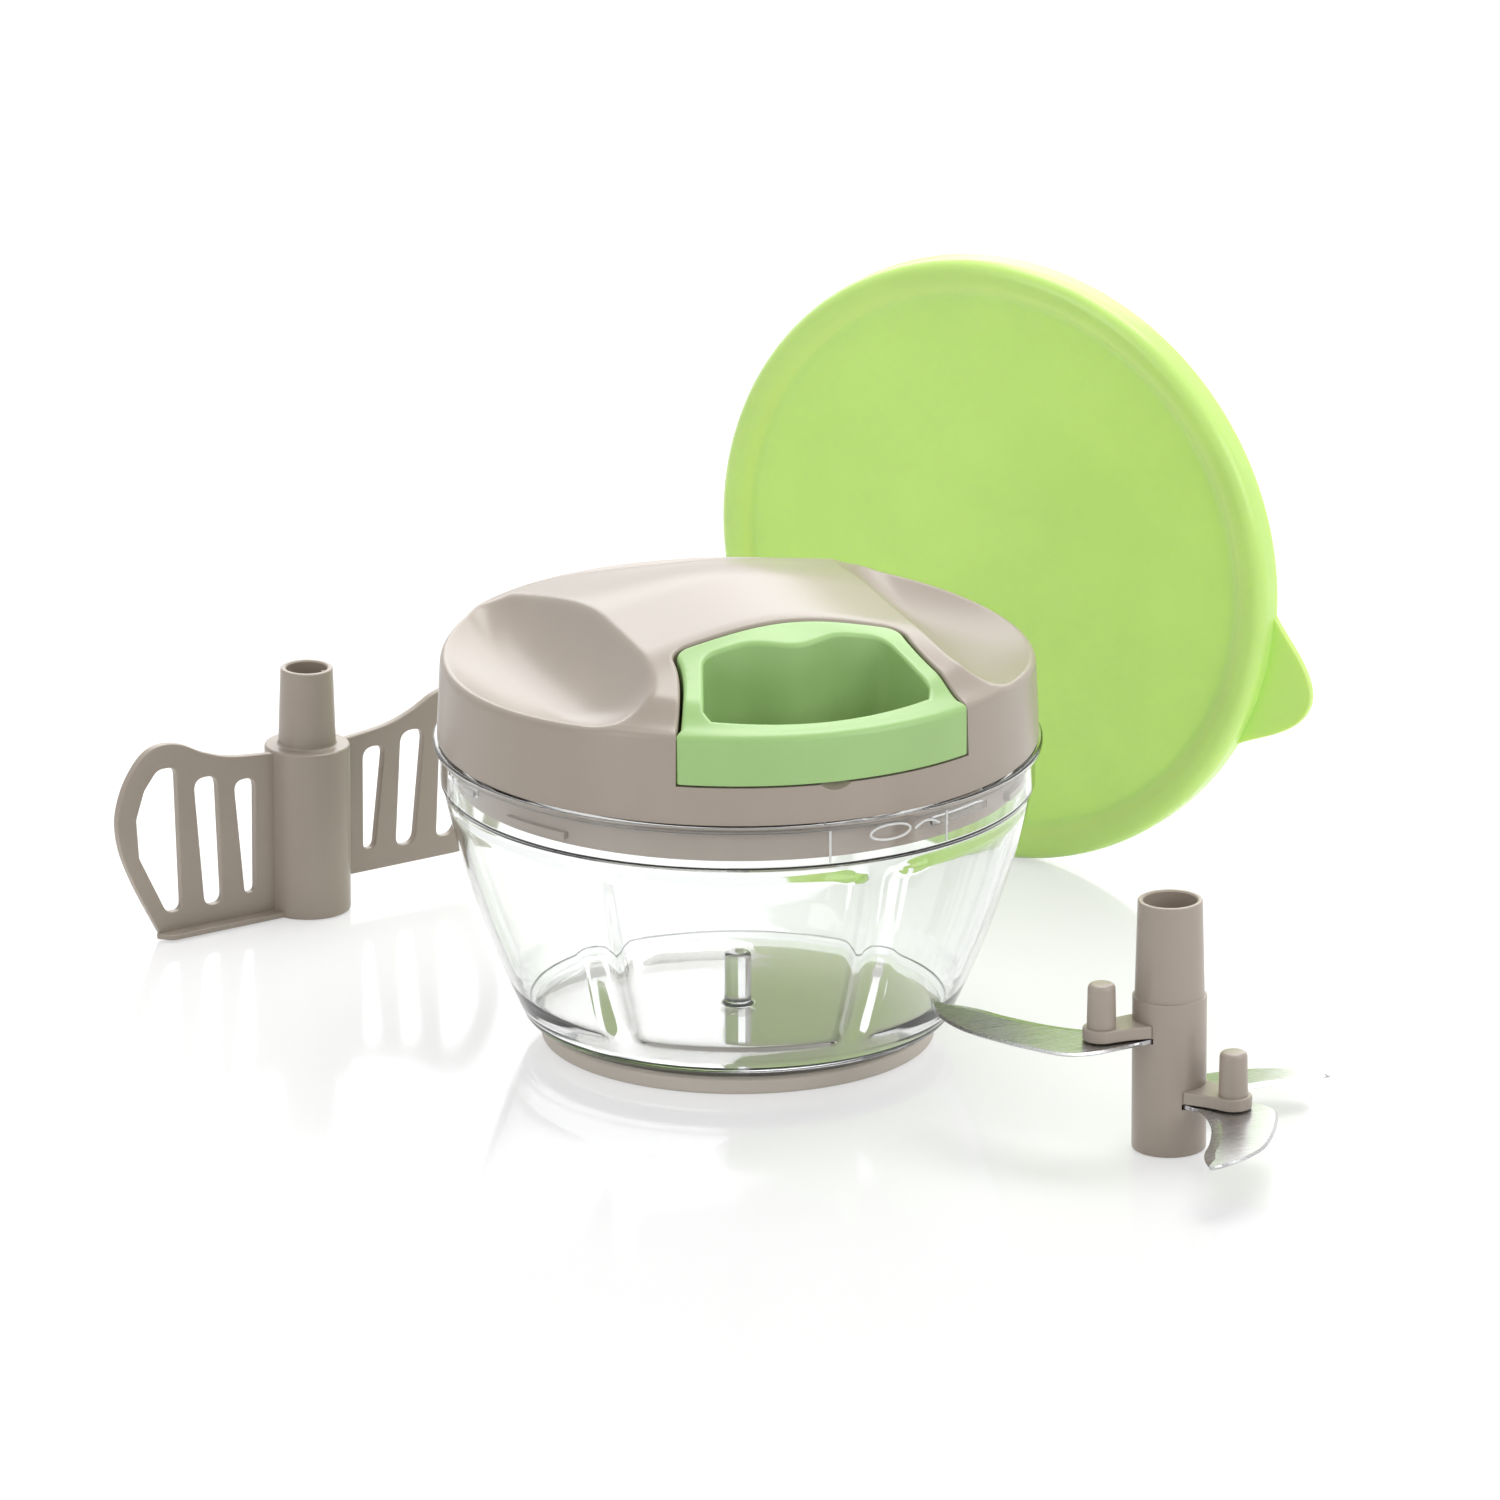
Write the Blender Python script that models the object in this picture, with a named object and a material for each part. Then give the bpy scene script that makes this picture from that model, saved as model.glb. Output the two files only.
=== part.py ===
"""Pull-cord food chopper with its storage lid, paddle insert and blade insert.

The bowl's axis is +Z, the table is Z = 0 and the pull handle draws out along -Y.
All sizes are in metres and all angles in degrees.
"""
from math import acos, asin, cos, degrees, hypot, pi, radians, sin

import bmesh
import bpy
from mathutils import Matrix, Vector

# Clearances and common walls
GAP = 0.0003
RUNNING_GAP = 0.0004
WALL = 0.0022
FINE_WALL = 0.0014

# Facets round a full circle
LARGE_STEPS = 56
MEDIUM_STEPS = 32
SMALL_STEPS = 12

# Base ring and bowl
FOOT_RADIUS = 0.0440
FOOT_HEIGHT = 0.0036
FOOT_ROUND = 0.0006
BOWL_CORNER_RADIUS = 0.0479
BOWL_CORNER_HEIGHT = 0.0065
BOWL_FLOOR_THICKNESS = 0.0033
BOWL_WALL_BULGE = 0.4
SHOULDER_STEP = 0.0006
COLLAR_STEP = 0.0008
COLLAR_WALL = 0.0019
COLLAR_HEIGHT = 0.0100
COLLAR_TAPER = 0.0011
RIM_LIP = 0.0008
RIM_HEIGHT = 0.0700
RIM_THICKNESS = 0.0016
PIN_RADIUS = 0.0030
PIN_HEIGHT = 0.0120

# Twist lock
LOCK_TURN = 26.7
LOCK_COUNT = 3
LOCK_ANGLE = 60.0
LUG_HALF_ANGLE = 8.0
LUG_THICKNESS = 0.0016
LUG_DEPTH = 0.0014
LUG_DROP = 0.0038

# Cover
SKIRT_RADIUS = 0.0672
SKIRT_TAPER = 0.0008
SKIRT_WALL = 0.0026
COVER_RISE = 0.0210
EDGE_ROUND = 0.0012
RIDGE_RISE = 0.0157
RIDGE_FRONT_RUN = 0.0380
RIDGE_BACK_RUN = 0.0630
RIDGE_BACK_END = 0.0620
RIDGE_EDGE_RUN = 0.0080
RIDGE_SPREAD = 0.0420
RIDGE_CROWN = 0.30
CREASE_BLEND = 0.0010
SCOOP_DEPTH = 0.0058
SCOOP_MIDDLE = 0.0500
SCOOP_RISE = 0.0154
SCOOP_RUN = 0.0180
SCOOP_LIP_START = 0.0500
SCOOP_LIP_RISE = 0.0036
SCOOP_END_RISE = 0.0018
SHELL_WALL = 0.0024

# Pull handle
HANDLE_RISE = 0.0095
HANDLE_FRONT_HALF = 0.0338
HANDLE_BACK_HALF = 0.0264
HANDLE_FRONT_Y = -0.0581
HANDLE_SIDE_Y = -0.0360
HANDLE_BACK_Y = -0.0325
HANDLE_CORNER = 0.0035
HANDLE_FLARE = 1.6
GRIP_THICKNESS = 0.0060
OPENING_FRONT_HALF = 0.0268
OPENING_BACK_HALF = 0.0210
OPENING_BACK_Y = -0.0375
FINGER_SPACING = 0.0127
FINGER_BUMP = 0.0035
POCKET_GAP = 0.0004
POCKET_WALL = 0.0020
NOTCH_RADIUS = 0.0050
NOTCH_DEPTH = 0.0034
NOTCH_RAISE = 0.0014

# Cord, drum and recoil spring
CORD_RADIUS = 0.0006
CORD_RISE = 0.0038
DRUM_RADIUS = 0.0135
DRUM_WIDTH = 0.0060
FLANGE_RADIUS = 0.0240
FLANGE_THICKNESS = 0.0016
WINDING_THICKNESS = 0.0016
STEM_RADIUS = 0.0075
ARBOR_RADIUS = 0.0050
ARBOR_HEIGHT = 0.0058
SPRING_TURNS = 5
SPRING_STEPS = 16
SPRING_THICKNESS = 0.0005
SPRING_HEIGHT = 0.0044
CUP_WALL = 0.0012
CUP_LENGTH = 0.0078
EAR_REACH = 0.0035
EAR_RADIUS = 0.0040
AXLE_RADIUS = 0.0021
AXLE_BOSS_RADIUS = 0.0050
AXLE_GRIP = 0.0036
WASHER_THICKNESS = 0.0008
EYELET_RADIUS = 0.0020
EYELET_FLANGE = 0.0012
KNOT_RADIUS = 0.0021
KNOT_LENGTH = 0.0030

# Bottom plate, seals and screws
SEAL_ROOM = 0.0018
PLUG_DEPTH = 0.0090
PLUG_WALL = 0.0022
PLATE_THICKNESS = 0.0024
PLATE_DROP = 0.0017
LEDGE_THICKNESS = 0.0011
LIP_RISE = 0.0012
SEAL_THICKNESS = 0.0014
SHAFT_RADIUS = 0.0040
BUSHING_WALL = 0.0024
BUSHING_FLANGE = 0.0025
SHAFT_SEAL_HEIGHT = 0.0015
SCREW_CIRCLE = 0.0480
SCREW_FIRST_ANGLE = 90.0
SCREW_SPREAD = 115.0
SCREW_RADIUS = 0.0014
SCREW_HEAD_RADIUS = 0.0028
SCREW_HEAD_HEIGHT = 0.0016
SCREW_LENGTH = 0.0140
CUP_SCREW_LENGTH = 0.0044
BOSS_WALL = 0.0022

# Drive coupler and the sockets that take it
COUPLER_RADIUS = 0.0044
COUPLER_LENGTH = 0.0120
KEY_WIDTH = 0.0016
KEY_DEPTH = 0.0011
HUB_CLEARANCE = 0.0009
SOCKET_SPARE = 0.0010

# Blade insert
BLADE_HUB_RADIUS = 0.00825
BLADE_NECK_TOP = 0.00720
BLADE_NECK_BOTTOM = 0.00775
BLADE_NECK_START = 0.0355
BLADE_MOUTH_RADIUS = 0.0060
BLADE_MOUTH_DEPTH = 0.0040
BLADE_THICKNESS = 0.0009
BLADE_CLEARANCE = 0.0016
BLADE_ROOT_DEPTH = 0.0036
BLADE_ROOT_HALF = 0.0042
BLADE_FIRST_ANGLE = 187.0
BLADE_HEIGHTS = (0.0264, 0.0113, 0.0060)
ARM_THICKNESS = 0.0029
ARM_LENGTH = 0.0168
ARM_END_RADIUS = 0.0042
PEG_RADIUS = 0.0033
PEG_HEIGHT = 0.0100
PEG_CHAMFER = 0.0012
PEG_TAPER = 0.92
ARM_ROOT_HALF = 0.0051
# Blade corners for a blade of the pattern's reach: the swept back, then the cutting edge
BLADE_PATTERN_REACH = 0.0510
BLADE_BACK = (
    (0.0145, 0.0060), (0.0215, 0.0062), (0.0265, 0.0040), (0.0312, -0.0034), (0.0348, -0.0108),
    (0.0376, -0.0186), (0.0382, -0.0262), (0.0372, -0.0324), (0.0354, -0.0367),
)
BLADE_EDGE = (
    (0.0314, -0.0336), (0.0284, -0.0292), (0.0258, -0.0232), (0.0216, -0.0158), (0.0178, -0.0108),
    (0.0130, -0.0064),
)

# Paddle insert
PADDLE_HUB_RADIUS = 0.00975
PADDLE_NECK_TOP = 0.00600
PADDLE_NECK_BOTTOM = 0.00660
PADDLE_NECK_START = 0.0394
PADDLE_WING_THICKNESS = 0.0020
PADDLE_FOOT_WIDTH = 0.0042
PADDLE_FOOT_THICKNESS = 0.0013
PADDLE_RAISED_BOTTOM = 0.0060
PADDLE_ANGLE = 195.0
# Wing and slot corners as (reach from the hub's axis, height)
WING_OUTLINE = (
    (0.0070, 0.0386), (0.0205, 0.0400), (0.0281, 0.0423), (0.0340, 0.0452), (0.0390, 0.0462), (0.0432, 0.0452),
    (0.0468, 0.0420), (0.0500, 0.0366), (0.0516, 0.0299), (0.0506, 0.0225), (0.0472, 0.0141), (0.0431, 0.0063),
    (0.0396, 0.0), (0.0070, 0.0),
)
INNER_SLOT = ((0.0146, 0.0062), (0.0176, 0.0062), (0.0204, 0.0340), (0.0146, 0.0340))
MIDDLE_SLOT = ((0.0234, 0.0052), (0.0284, 0.0052), (0.0312, 0.0364), (0.0249, 0.0364))
OUTER_SLOT = (
    (0.0344, 0.0054), (0.0386, 0.0054), (0.0459, 0.0200), (0.0466, 0.0294), (0.0444, 0.0360), (0.0409, 0.0404),
    (0.0358, 0.0404),
)
SLOT_CORNER = 0.0014

# Storage lid
LID_SKIRT = 0.0030
LID_HEIGHT = 0.0075
LID_PANEL_DROP = 0.0022
LID_WALL = 0.0016
LID_TAB_ANGLE = -16.5
LID_TAB_HALF_ANGLE = 17.0
LID_TAB_REACH = 0.0125
LID_TAB_THICKNESS = 0.0018

# Where the loose pieces stand beside the chopper
BLADE_STAND = (0.0641, -0.1056)
PADDLE_STAND = (-0.0640, 0.1151)
LID_STAND = (0.0945, 0.0986)
LID_TURN = -48.5

TAUPE = (0.40, 0.34, 0.29)
CLEAR = (0.93, 0.95, 0.95)
LEAF_GREEN = (0.33, 0.62, 0.22)
LIME_GREEN = (0.46, 0.76, 0.16)
STEEL = (0.62, 0.62, 0.63)
CORD_WHITE = (0.80, 0.80, 0.76)
PALE_PLASTIC = (0.72, 0.72, 0.70)
RUBBER_GREY = (0.35, 0.35, 0.34)
BRASS_YELLOW = (0.70, 0.55, 0.25)


def clear_scene():
    for item in list(bpy.data.objects):
        bpy.data.objects.remove(item, do_unlink=True)


def material(name, colour, roughness, metallic=0.0, alpha=1.0):
    """Return the Principled material of one piece."""
    made = bpy.data.materials.new(name)
    made.use_nodes = True
    shader = made.node_tree.nodes["Principled BSDF"]
    shader.inputs["Base Color"].default_value = (*colour, 1.0)
    shader.inputs["Roughness"].default_value = roughness
    shader.inputs["Metallic"].default_value = metallic
    shader.inputs["Alpha"].default_value = alpha
    return made


def finish(name, shape, look=None, sharp=32.0):
    """Turn a bmesh into a named object; without a look it is a hidden cutter."""
    bmesh.ops.remove_doubles(shape, verts=shape.verts, dist=1e-7)
    bmesh.ops.recalc_face_normals(shape, faces=shape.faces)
    mesh = bpy.data.meshes.new(name)
    shape.to_mesh(mesh)
    shape.free()
    mesh.shade_smooth()
    mesh.set_sharp_from_angle(angle=radians(sharp))
    made = bpy.data.objects.new(name, mesh)
    bpy.context.scene.collection.objects.link(made)
    if look is None:
        made.hide_render = True
        made.display_type = "WIRE"
    else:
        mesh.materials.append(look)
    return made


def combine(target, cutter, operation):
    """Add a live exact Boolean to the target."""
    step = target.modifiers.new(cutter.name, "BOOLEAN")
    step.object = cutter
    step.operation = operation
    step.solver = "EXACT"


def turned(profile, steps, closed=True):
    """Spin a profile of (radius, height) points round the Z axis."""
    shape = bmesh.new()
    points = [shape.verts.new((radius, 0.0, height)) for radius, height in profile]
    edges = [shape.edges.new(pair) for pair in zip(points, points[1:])]
    if closed:
        edges.append(shape.edges.new((points[-1], points[0])))
    bmesh.ops.spin(shape, geom=points + edges, cent=(0, 0, 0), axis=(0, 0, 1),
                   angle=2 * pi, steps=steps, use_merge=True, use_duplicate=False)
    bmesh.ops.remove_doubles(shape, verts=shape.verts, dist=1e-7)
    return shape


def prism(outline, low, high, shape=None):
    """Extrude a flat outline of (x, y) points from one height to another."""
    shape = shape or bmesh.new()
    floor = shape.faces.new([shape.verts.new((x, y, low)) for x, y in outline])
    top = bmesh.ops.extrude_face_region(shape, geom=[floor])
    moved = [item for item in top["geom"] if isinstance(item, bmesh.types.BMVert)]
    bmesh.ops.translate(shape, verts=moved, vec=(0, 0, high - low))
    return shape


def add_cylinder(shape, radius, start, end, steps=SMALL_STEPS):
    """Add a capped cylinder between two points."""
    start, end = Vector(start), Vector(end)
    run = end - start
    turn = Vector((0, 0, 1)).rotation_difference(run).to_matrix().to_4x4()
    place = Matrix.Translation((start + end) / 2) @ turn
    bmesh.ops.create_cone(shape, cap_ends=True, segments=steps, radius1=radius,
                          radius2=radius, depth=run.length, matrix=place)
    return shape


def arc(centre, radius, start, end, steps):
    """Return points along an arc, with both ends."""
    turns = [radians(start + (end - start) * index / steps) for index in range(steps + 1)]
    return [(centre[0] + radius * cos(turn), centre[1] + radius * sin(turn)) for turn in turns]


def rounded(outline, radii, steps=3):
    """Round the corners of an outline; a radius of 0 keeps the corner."""
    result = []
    for index, corner in enumerate(outline):
        radius = radii[index]
        point = Vector(corner)
        before = Vector(outline[index - 1]) - point
        after = Vector(outline[(index + 1) % len(outline)]) - point
        half = before.angle(after) / 2
        if radius <= 0 or half > radians(88):
            result.append(tuple(corner))
            continue
        setback = radius * cos(half) / sin(half)
        middle = (before.normalized() + after.normalized()).normalized()
        centre = point + middle * (radius / sin(half))
        first = point + before.normalized() * setback - centre
        last = point + after.normalized() * setback - centre
        sweep = first.angle_signed(last)
        for step in range(steps + 1):
            spoke = first.copy()
            spoke.rotate(Matrix.Rotation(-sweep * step / steps, 2))
            result.append(tuple(centre + spoke))
    return result


def sector(inner, outer, middle, half_angle, low, high, shape=None):
    """Return a block that follows a ring over part of a turn."""
    start, end = middle - half_angle, middle + half_angle
    outline = arc((0, 0), outer, start, end, 4) + arc((0, 0), inner, end, start, 4)
    return prism(outline, low, high, shape)


def smooth(value):
    value = min(max(value, 0.0), 1.0)
    return value * value * (3 - 2 * value)


def stand(name, location=(0, 0, 0), rotation=(0, 0, 0)):
    """Make the empty that a body's pieces hang on."""
    made = bpy.data.objects.new(name, None)
    made.location = location
    made.rotation_euler = rotation
    bpy.context.scene.collection.objects.link(made)
    return made


def carry(parent, *pieces):
    """Parent pieces that were modelled where they lie."""
    for piece in pieces:
        piece.parent = parent
        piece.matrix_parent_inverse = parent.matrix_basis.inverted()


def place(parent, *pieces):
    """Parent pieces that were modelled round their own origin."""
    for piece in pieces:
        piece.parent = parent


# Sizes that follow from the driving dimensions
COLLAR_RADIUS = SKIRT_RADIUS - COLLAR_STEP
SHOULDER_RADIUS = COLLAR_RADIUS - SHOULDER_STEP
RIM_RADIUS = SKIRT_RADIUS + RIM_LIP
LID_RADIUS = RIM_RADIUS + LID_SKIRT
EDGE_HEIGHT = RIM_HEIGHT + COVER_RISE
SCOOP_FLOOR = EDGE_HEIGHT - SCOOP_DEPTH
HANDLE_BOTTOM = RIM_HEIGHT + HANDLE_RISE
CORD_HEIGHT = HANDLE_BOTTOM + CORD_RISE
BOWL_UNDERSIDE = FOOT_HEIGHT + GAP
BOWL_FLOOR = BOWL_UNDERSIDE + BOWL_FLOOR_THICKNESS
SHOULDER_HEIGHT = RIM_HEIGHT - COLLAR_HEIGHT - COLLAR_TAPER
SKIRT_BOTTOM = RIM_HEIGHT + GAP
COLLAR_BORE = COLLAR_RADIUS - COLLAR_WALL
PLUG_RADIUS = COLLAR_BORE - SEAL_ROOM
PLATE_TOP = RIM_HEIGHT - PLATE_DROP
PLATE_UNDERSIDE = PLATE_TOP - PLATE_THICKNESS
HUB_HEIGHT = PLATE_UNDERSIDE - HUB_CLEARANCE - BOWL_FLOOR - GAP
COUPLER_TOP = PLATE_UNDERSIDE - GAP
COUPLER_BOTTOM = COUPLER_TOP - COUPLER_LENGTH
SOCKET_RADIUS = COUPLER_RADIUS + GAP
SOCKET_DEPTH = COUPLER_LENGTH + SOCKET_SPARE
PIN_BORE_RADIUS = PIN_RADIUS + GAP
PIN_BORE_DEPTH = PIN_HEIGHT + SOCKET_SPARE
CAVITY_RADIUS = SKIRT_RADIUS - SKIRT_WALL
LOWER_FLANGE = CORD_HEIGHT - DRUM_WIDTH / 2
UPPER_FLANGE = CORD_HEIGHT + DRUM_WIDTH / 2
SPOOL_TOP = UPPER_FLANGE + FLANGE_THICKNESS
ARBOR_TOP = SPOOL_TOP + ARBOR_HEIGHT
CUP_BOTTOM = SPOOL_TOP + RUNNING_GAP + GAP
CUP_TOP = CUP_BOTTOM + CUP_LENGTH
CUP_CEILING = CUP_TOP - CUP_WALL
POCKET_FLOOR = HANDLE_BOTTOM - GAP
TOP_RADIUS = SKIRT_RADIUS - SKIRT_TAPER
RIM_EDGE = TOP_RADIUS - EDGE_ROUND
CEILING = EDGE_HEIGHT + RIDGE_RISE + 2 * WALL


def bowl_wall_radius(height):
    """Outer radius of the tapered wall at a height."""
    share = (height - BOWL_CORNER_HEIGHT) / (SHOULDER_HEIGHT - BOWL_CORNER_HEIGHT)
    curve = (1 + BOWL_WALL_BULGE) * share - BOWL_WALL_BULGE * share * share
    return BOWL_CORNER_RADIUS + (SHOULDER_RADIUS - BOWL_CORNER_RADIUS) * curve


def ramp(share, crown):
    """Rise from 0 to 1: smooth at both ends, or with a crown, steep at the start."""
    share = min(max(share, 0.0), 1.0)
    return (1 - crown) * smooth(share) + crown * (1 - (1 - share) ** 2)


def ridge_height(x, y):
    """Height of the ridge that runs from the handle to the back rim."""
    rise = ramp(min((RIM_EDGE + y) / RIDGE_FRONT_RUN, (RIDGE_BACK_END - y) / RIDGE_BACK_RUN), RIDGE_CROWN)
    across = 1 / (1 + (x / RIDGE_SPREAD) ** 2)
    rim = ramp((RIM_EDGE - hypot(x, y)) / RIDGE_EDGE_RUN, RIDGE_CROWN)
    return EDGE_HEIGHT + RIDGE_RISE * rise * across * rim


def scoop_height(x, y):
    """Height of the finger scoop's floor at either side of the ridge."""
    wall = max((SCOOP_MIDDLE - abs(x)) / SCOOP_RUN, 0.0)
    lip = min(max((hypot(x, y) - SCOOP_LIP_START) / (RIM_EDGE - SCOOP_LIP_START), 0.0), 1.0)
    end = y / SCOOP_MIDDLE
    return SCOOP_FLOOR + SCOOP_RISE * wall ** 2 + SCOOP_LIP_RISE * lip ** 2 + SCOOP_END_RISE * end ** 2


def top_height(x, y):
    """Height of the cover's top: the lower of ridge and scoop, with a rounded crease."""
    ridge, scoop = ridge_height(x, y), scoop_height(x, y)
    blend = max(CREASE_BLEND - abs(ridge - scoop), 0.0)
    return min(ridge, scoop) - blend ** 2 / (4 * CREASE_BLEND)


def crease_reach():
    """Distance from the middle at which ridge and scoop meet."""
    near, far = 0.0, SCOOP_MIDDLE
    for _ in range(30):
        middle = (near + far) / 2
        if ridge_height(middle, 0) < scoop_height(middle, 0):
            near = middle
        else:
            far = middle
    return near


def top_cutter(name, drop, ridge_columns, scoop_columns, rows):
    """Body of everything above the cover's top, lowered by the given drop."""
    crease = crease_reach()
    reach = SKIRT_RADIUS + 2 * WALL
    half = [(crease - CREASE_BLEND) * index / ridge_columns for index in range(ridge_columns + 1)]
    half += [crease + CREASE_BLEND + (reach - crease - CREASE_BLEND) * index / scoop_columns
             for index in range(scoop_columns + 1)]
    columns = [-x for x in half[:0:-1]] + half
    shape = bmesh.new()
    bmesh.ops.create_grid(shape, x_segments=len(columns) - 1, y_segments=rows, size=0.5)
    for point in shape.verts:
        x = columns[round((point.co.x + 0.5) * (len(columns) - 1))]
        y = 2 * point.co.y * reach
        point.co = Vector((x, y, top_height(x, y) - drop))
    raised = bmesh.ops.extrude_face_region(shape, geom=list(shape.faces))
    for item in raised["geom"]:
        if isinstance(item, bmesh.types.BMVert):
            item.co.z = CEILING
    return finish(name, shape)


def crown_body(name, look=None):
    """Solid of the cover's outer form: skirt, rounded edge, ridge and scoops."""
    profile = [
        (0, CEILING - WALL), (TOP_RADIUS, CEILING - WALL), (TOP_RADIUS, EDGE_HEIGHT - 2 * EDGE_ROUND),
        (SKIRT_RADIUS, SKIRT_BOTTOM), (0, SKIRT_BOTTOM),
    ]
    made = finish(name, turned(profile, LARGE_STEPS, closed=False), look)
    combine(made, top_cutter(f"{name}_top", 0.0, 4, 6, 22), "DIFFERENCE")
    over = [
        (RIM_EDGE - EDGE_ROUND, EDGE_HEIGHT + EDGE_ROUND),
        (TOP_RADIUS + EDGE_ROUND, EDGE_HEIGHT - 2 * EDGE_ROUND),
        (TOP_RADIUS + EDGE_ROUND, EDGE_HEIGHT + EDGE_ROUND),
    ]
    combine(made, finish(f"{name}_edge", turned(over, LARGE_STEPS)), "DIFFERENCE")
    return made


def cavity_body():
    """Body of the hollow inside the cover, open below."""
    profile = [(0, SKIRT_BOTTOM - WALL), (CAVITY_RADIUS, SKIRT_BOTTOM - WALL),
               (CAVITY_RADIUS, CEILING - WALL), (0, CEILING - WALL)]
    made = finish("cover_cavity", turned(profile, LARGE_STEPS, closed=False))
    combine(made, top_cutter("cavity_top", SHELL_WALL, 3, 4, 14), "DIFFERENCE")
    return made


def base_ring(look):
    """Soft ring and disc under the bowl that stops it from sliding."""
    profile = [
        (0, 0), (FOOT_RADIUS - FOOT_ROUND, 0), (FOOT_RADIUS, FOOT_ROUND),
        (FOOT_RADIUS, FOOT_HEIGHT - FOOT_ROUND), (FOOT_RADIUS - FOOT_ROUND, FOOT_HEIGHT),
        (0, FOOT_HEIGHT),
    ]
    return finish("base_ring", turned(profile, LARGE_STEPS, closed=False), look)


def bowl(look):
    """Clear tapered bowl with its pivot pin, collar, rim flange and lock lugs."""
    wall_steps = 6
    heights = [BOWL_CORNER_HEIGHT + (SHOULDER_HEIGHT - BOWL_CORNER_HEIGHT) * step / wall_steps
               for step in range(wall_steps + 1)]
    outer = [(bowl_wall_radius(height), height) for height in heights]
    inner = [(radius - WALL, height) for radius, height in outer if height > BOWL_FLOOR + WALL]
    rim_low = RIM_HEIGHT - RIM_THICKNESS
    edge = RIM_THICKNESS / 4
    profile = [(0, BOWL_UNDERSIDE), (FOOT_RADIUS - FOOT_ROUND, BOWL_UNDERSIDE)]
    profile += [((FOOT_RADIUS + BOWL_CORNER_RADIUS) / 2, (BOWL_UNDERSIDE + BOWL_CORNER_HEIGHT) / 2 - edge)]
    profile += outer
    profile += [
        (COLLAR_RADIUS, RIM_HEIGHT - COLLAR_HEIGHT), (COLLAR_RADIUS, rim_low),
        (RIM_RADIUS, rim_low + edge), (RIM_RADIUS, RIM_HEIGHT - edge), (RIM_RADIUS - edge, RIM_HEIGHT),
        (COLLAR_BORE + edge, RIM_HEIGHT), (COLLAR_BORE, RIM_HEIGHT - edge),
        (COLLAR_BORE, RIM_HEIGHT - COLLAR_HEIGHT + edge),
    ]
    profile += inner[::-1]
    floor_radius = inner[0][0] - WALL
    chamfer = PIN_RADIUS / 4
    profile += [
        (floor_radius, BOWL_FLOOR), (PIN_RADIUS, BOWL_FLOOR),
        (PIN_RADIUS, BOWL_FLOOR + PIN_HEIGHT - chamfer),
        (PIN_RADIUS - chamfer, BOWL_FLOOR + PIN_HEIGHT), (0, BOWL_FLOOR + PIN_HEIGHT),
    ]
    made = finish("bowl", turned(profile, LARGE_STEPS, closed=False), look)
    lugs = bmesh.new()
    low = RIM_HEIGHT - LUG_DROP - LUG_THICKNESS
    for index in range(LOCK_COUNT):
        middle = LOCK_ANGLE + 360 * index / LOCK_COUNT
        sector(COLLAR_BORE - LUG_DEPTH, COLLAR_BORE + COLLAR_WALL / 2, middle, LUG_HALF_ANGLE,
               low, low + LUG_THICKNESS, lugs)
    combine(made, finish("bowl_lugs", lugs), "UNION")
    return made


def handle_plan(grow):
    """Plan outline of the pull handle, run out past the skirt at the front."""
    steps = 5
    side = []
    for index in range(steps + 1):
        share = index / steps
        x = HANDLE_BACK_HALF + (HANDLE_FRONT_HALF - HANDLE_BACK_HALF) * share ** HANDLE_FLARE
        y = HANDLE_SIDE_Y + (HANDLE_FRONT_Y - HANDLE_SIDE_Y) * share
        side.append((x + grow, y))
    front = (HANDLE_FRONT_HALF + grow, -SKIRT_RADIUS - 2 * WALL)
    corner = (HANDLE_BACK_HALF + grow, HANDLE_BACK_Y + grow)
    right = [front] + side[::-1] + [corner]
    left = [(-x, y) for x, y in reversed(right)]
    radii = [0] * (len(right) - 1) + [HANDLE_CORNER + grow]
    radii += radii[::-1]
    return rounded(right + left, radii)


def opening_plan():
    """Plan outline of the finger opening with its two finger hollows."""
    grip = SKIRT_RADIUS - GRIP_THICKNESS
    front_angle = degrees(asin(OPENING_FRONT_HALF / grip))
    front = arc((0, 0), grip, -90 - front_angle, -90 + front_angle, 10)
    back = []
    bumps = 12
    for index in range(bumps + 1):
        x = FINGER_SPACING * (1 - 2 * index / bumps)
        bump = FINGER_BUMP * (1 + cos(pi * x / FINGER_SPACING)) / 2
        back.append((x, OPENING_BACK_Y - bump))
    right_corner = (OPENING_BACK_HALF, OPENING_BACK_Y)
    left_corner = (-OPENING_BACK_HALF, OPENING_BACK_Y)
    outline = front + [right_corner] + back + [left_corner]
    front_corner = GRIP_THICKNESS / 3
    radii = [front_corner] + [0] * (len(front) - 2) + [front_corner]
    radii += [HANDLE_CORNER] + [0] * len(back) + [HANDLE_CORNER]
    return rounded(outline, radii)


def pull_handle(look):
    """Green grip that lies flush in the cover's pocket."""
    high = CEILING + WALL
    made = finish("pull_handle", prism(handle_plan(0), HANDLE_BOTTOM, high), look)
    combine(made, crown_body("handle_crown"), "INTERSECT")
    cuts = prism(opening_plan(), HANDLE_BOTTOM - WALL, high + WALL)
    combine(made, finish("finger_opening", cuts), "DIFFERENCE")
    bump_face = OPENING_BACK_Y - FINGER_BUMP
    bores = bmesh.new()
    seat = bump_face + KNOT_LENGTH + 2 * GAP + FINE_WALL / 2
    add_cylinder(bores, CORD_RADIUS + GAP, (0, seat - GAP, CORD_HEIGHT), (0, HANDLE_BACK_Y + WALL, CORD_HEIGHT))
    combine(made, finish("cord_bore", bores), "DIFFERENCE")
    well = bmesh.new()
    add_cylinder(well, KNOT_RADIUS + GAP, (0, bump_face - WALL, CORD_HEIGHT), (0, seat, CORD_HEIGHT))
    combine(made, finish("knot_well", well), "DIFFERENCE")
    return made


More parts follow.
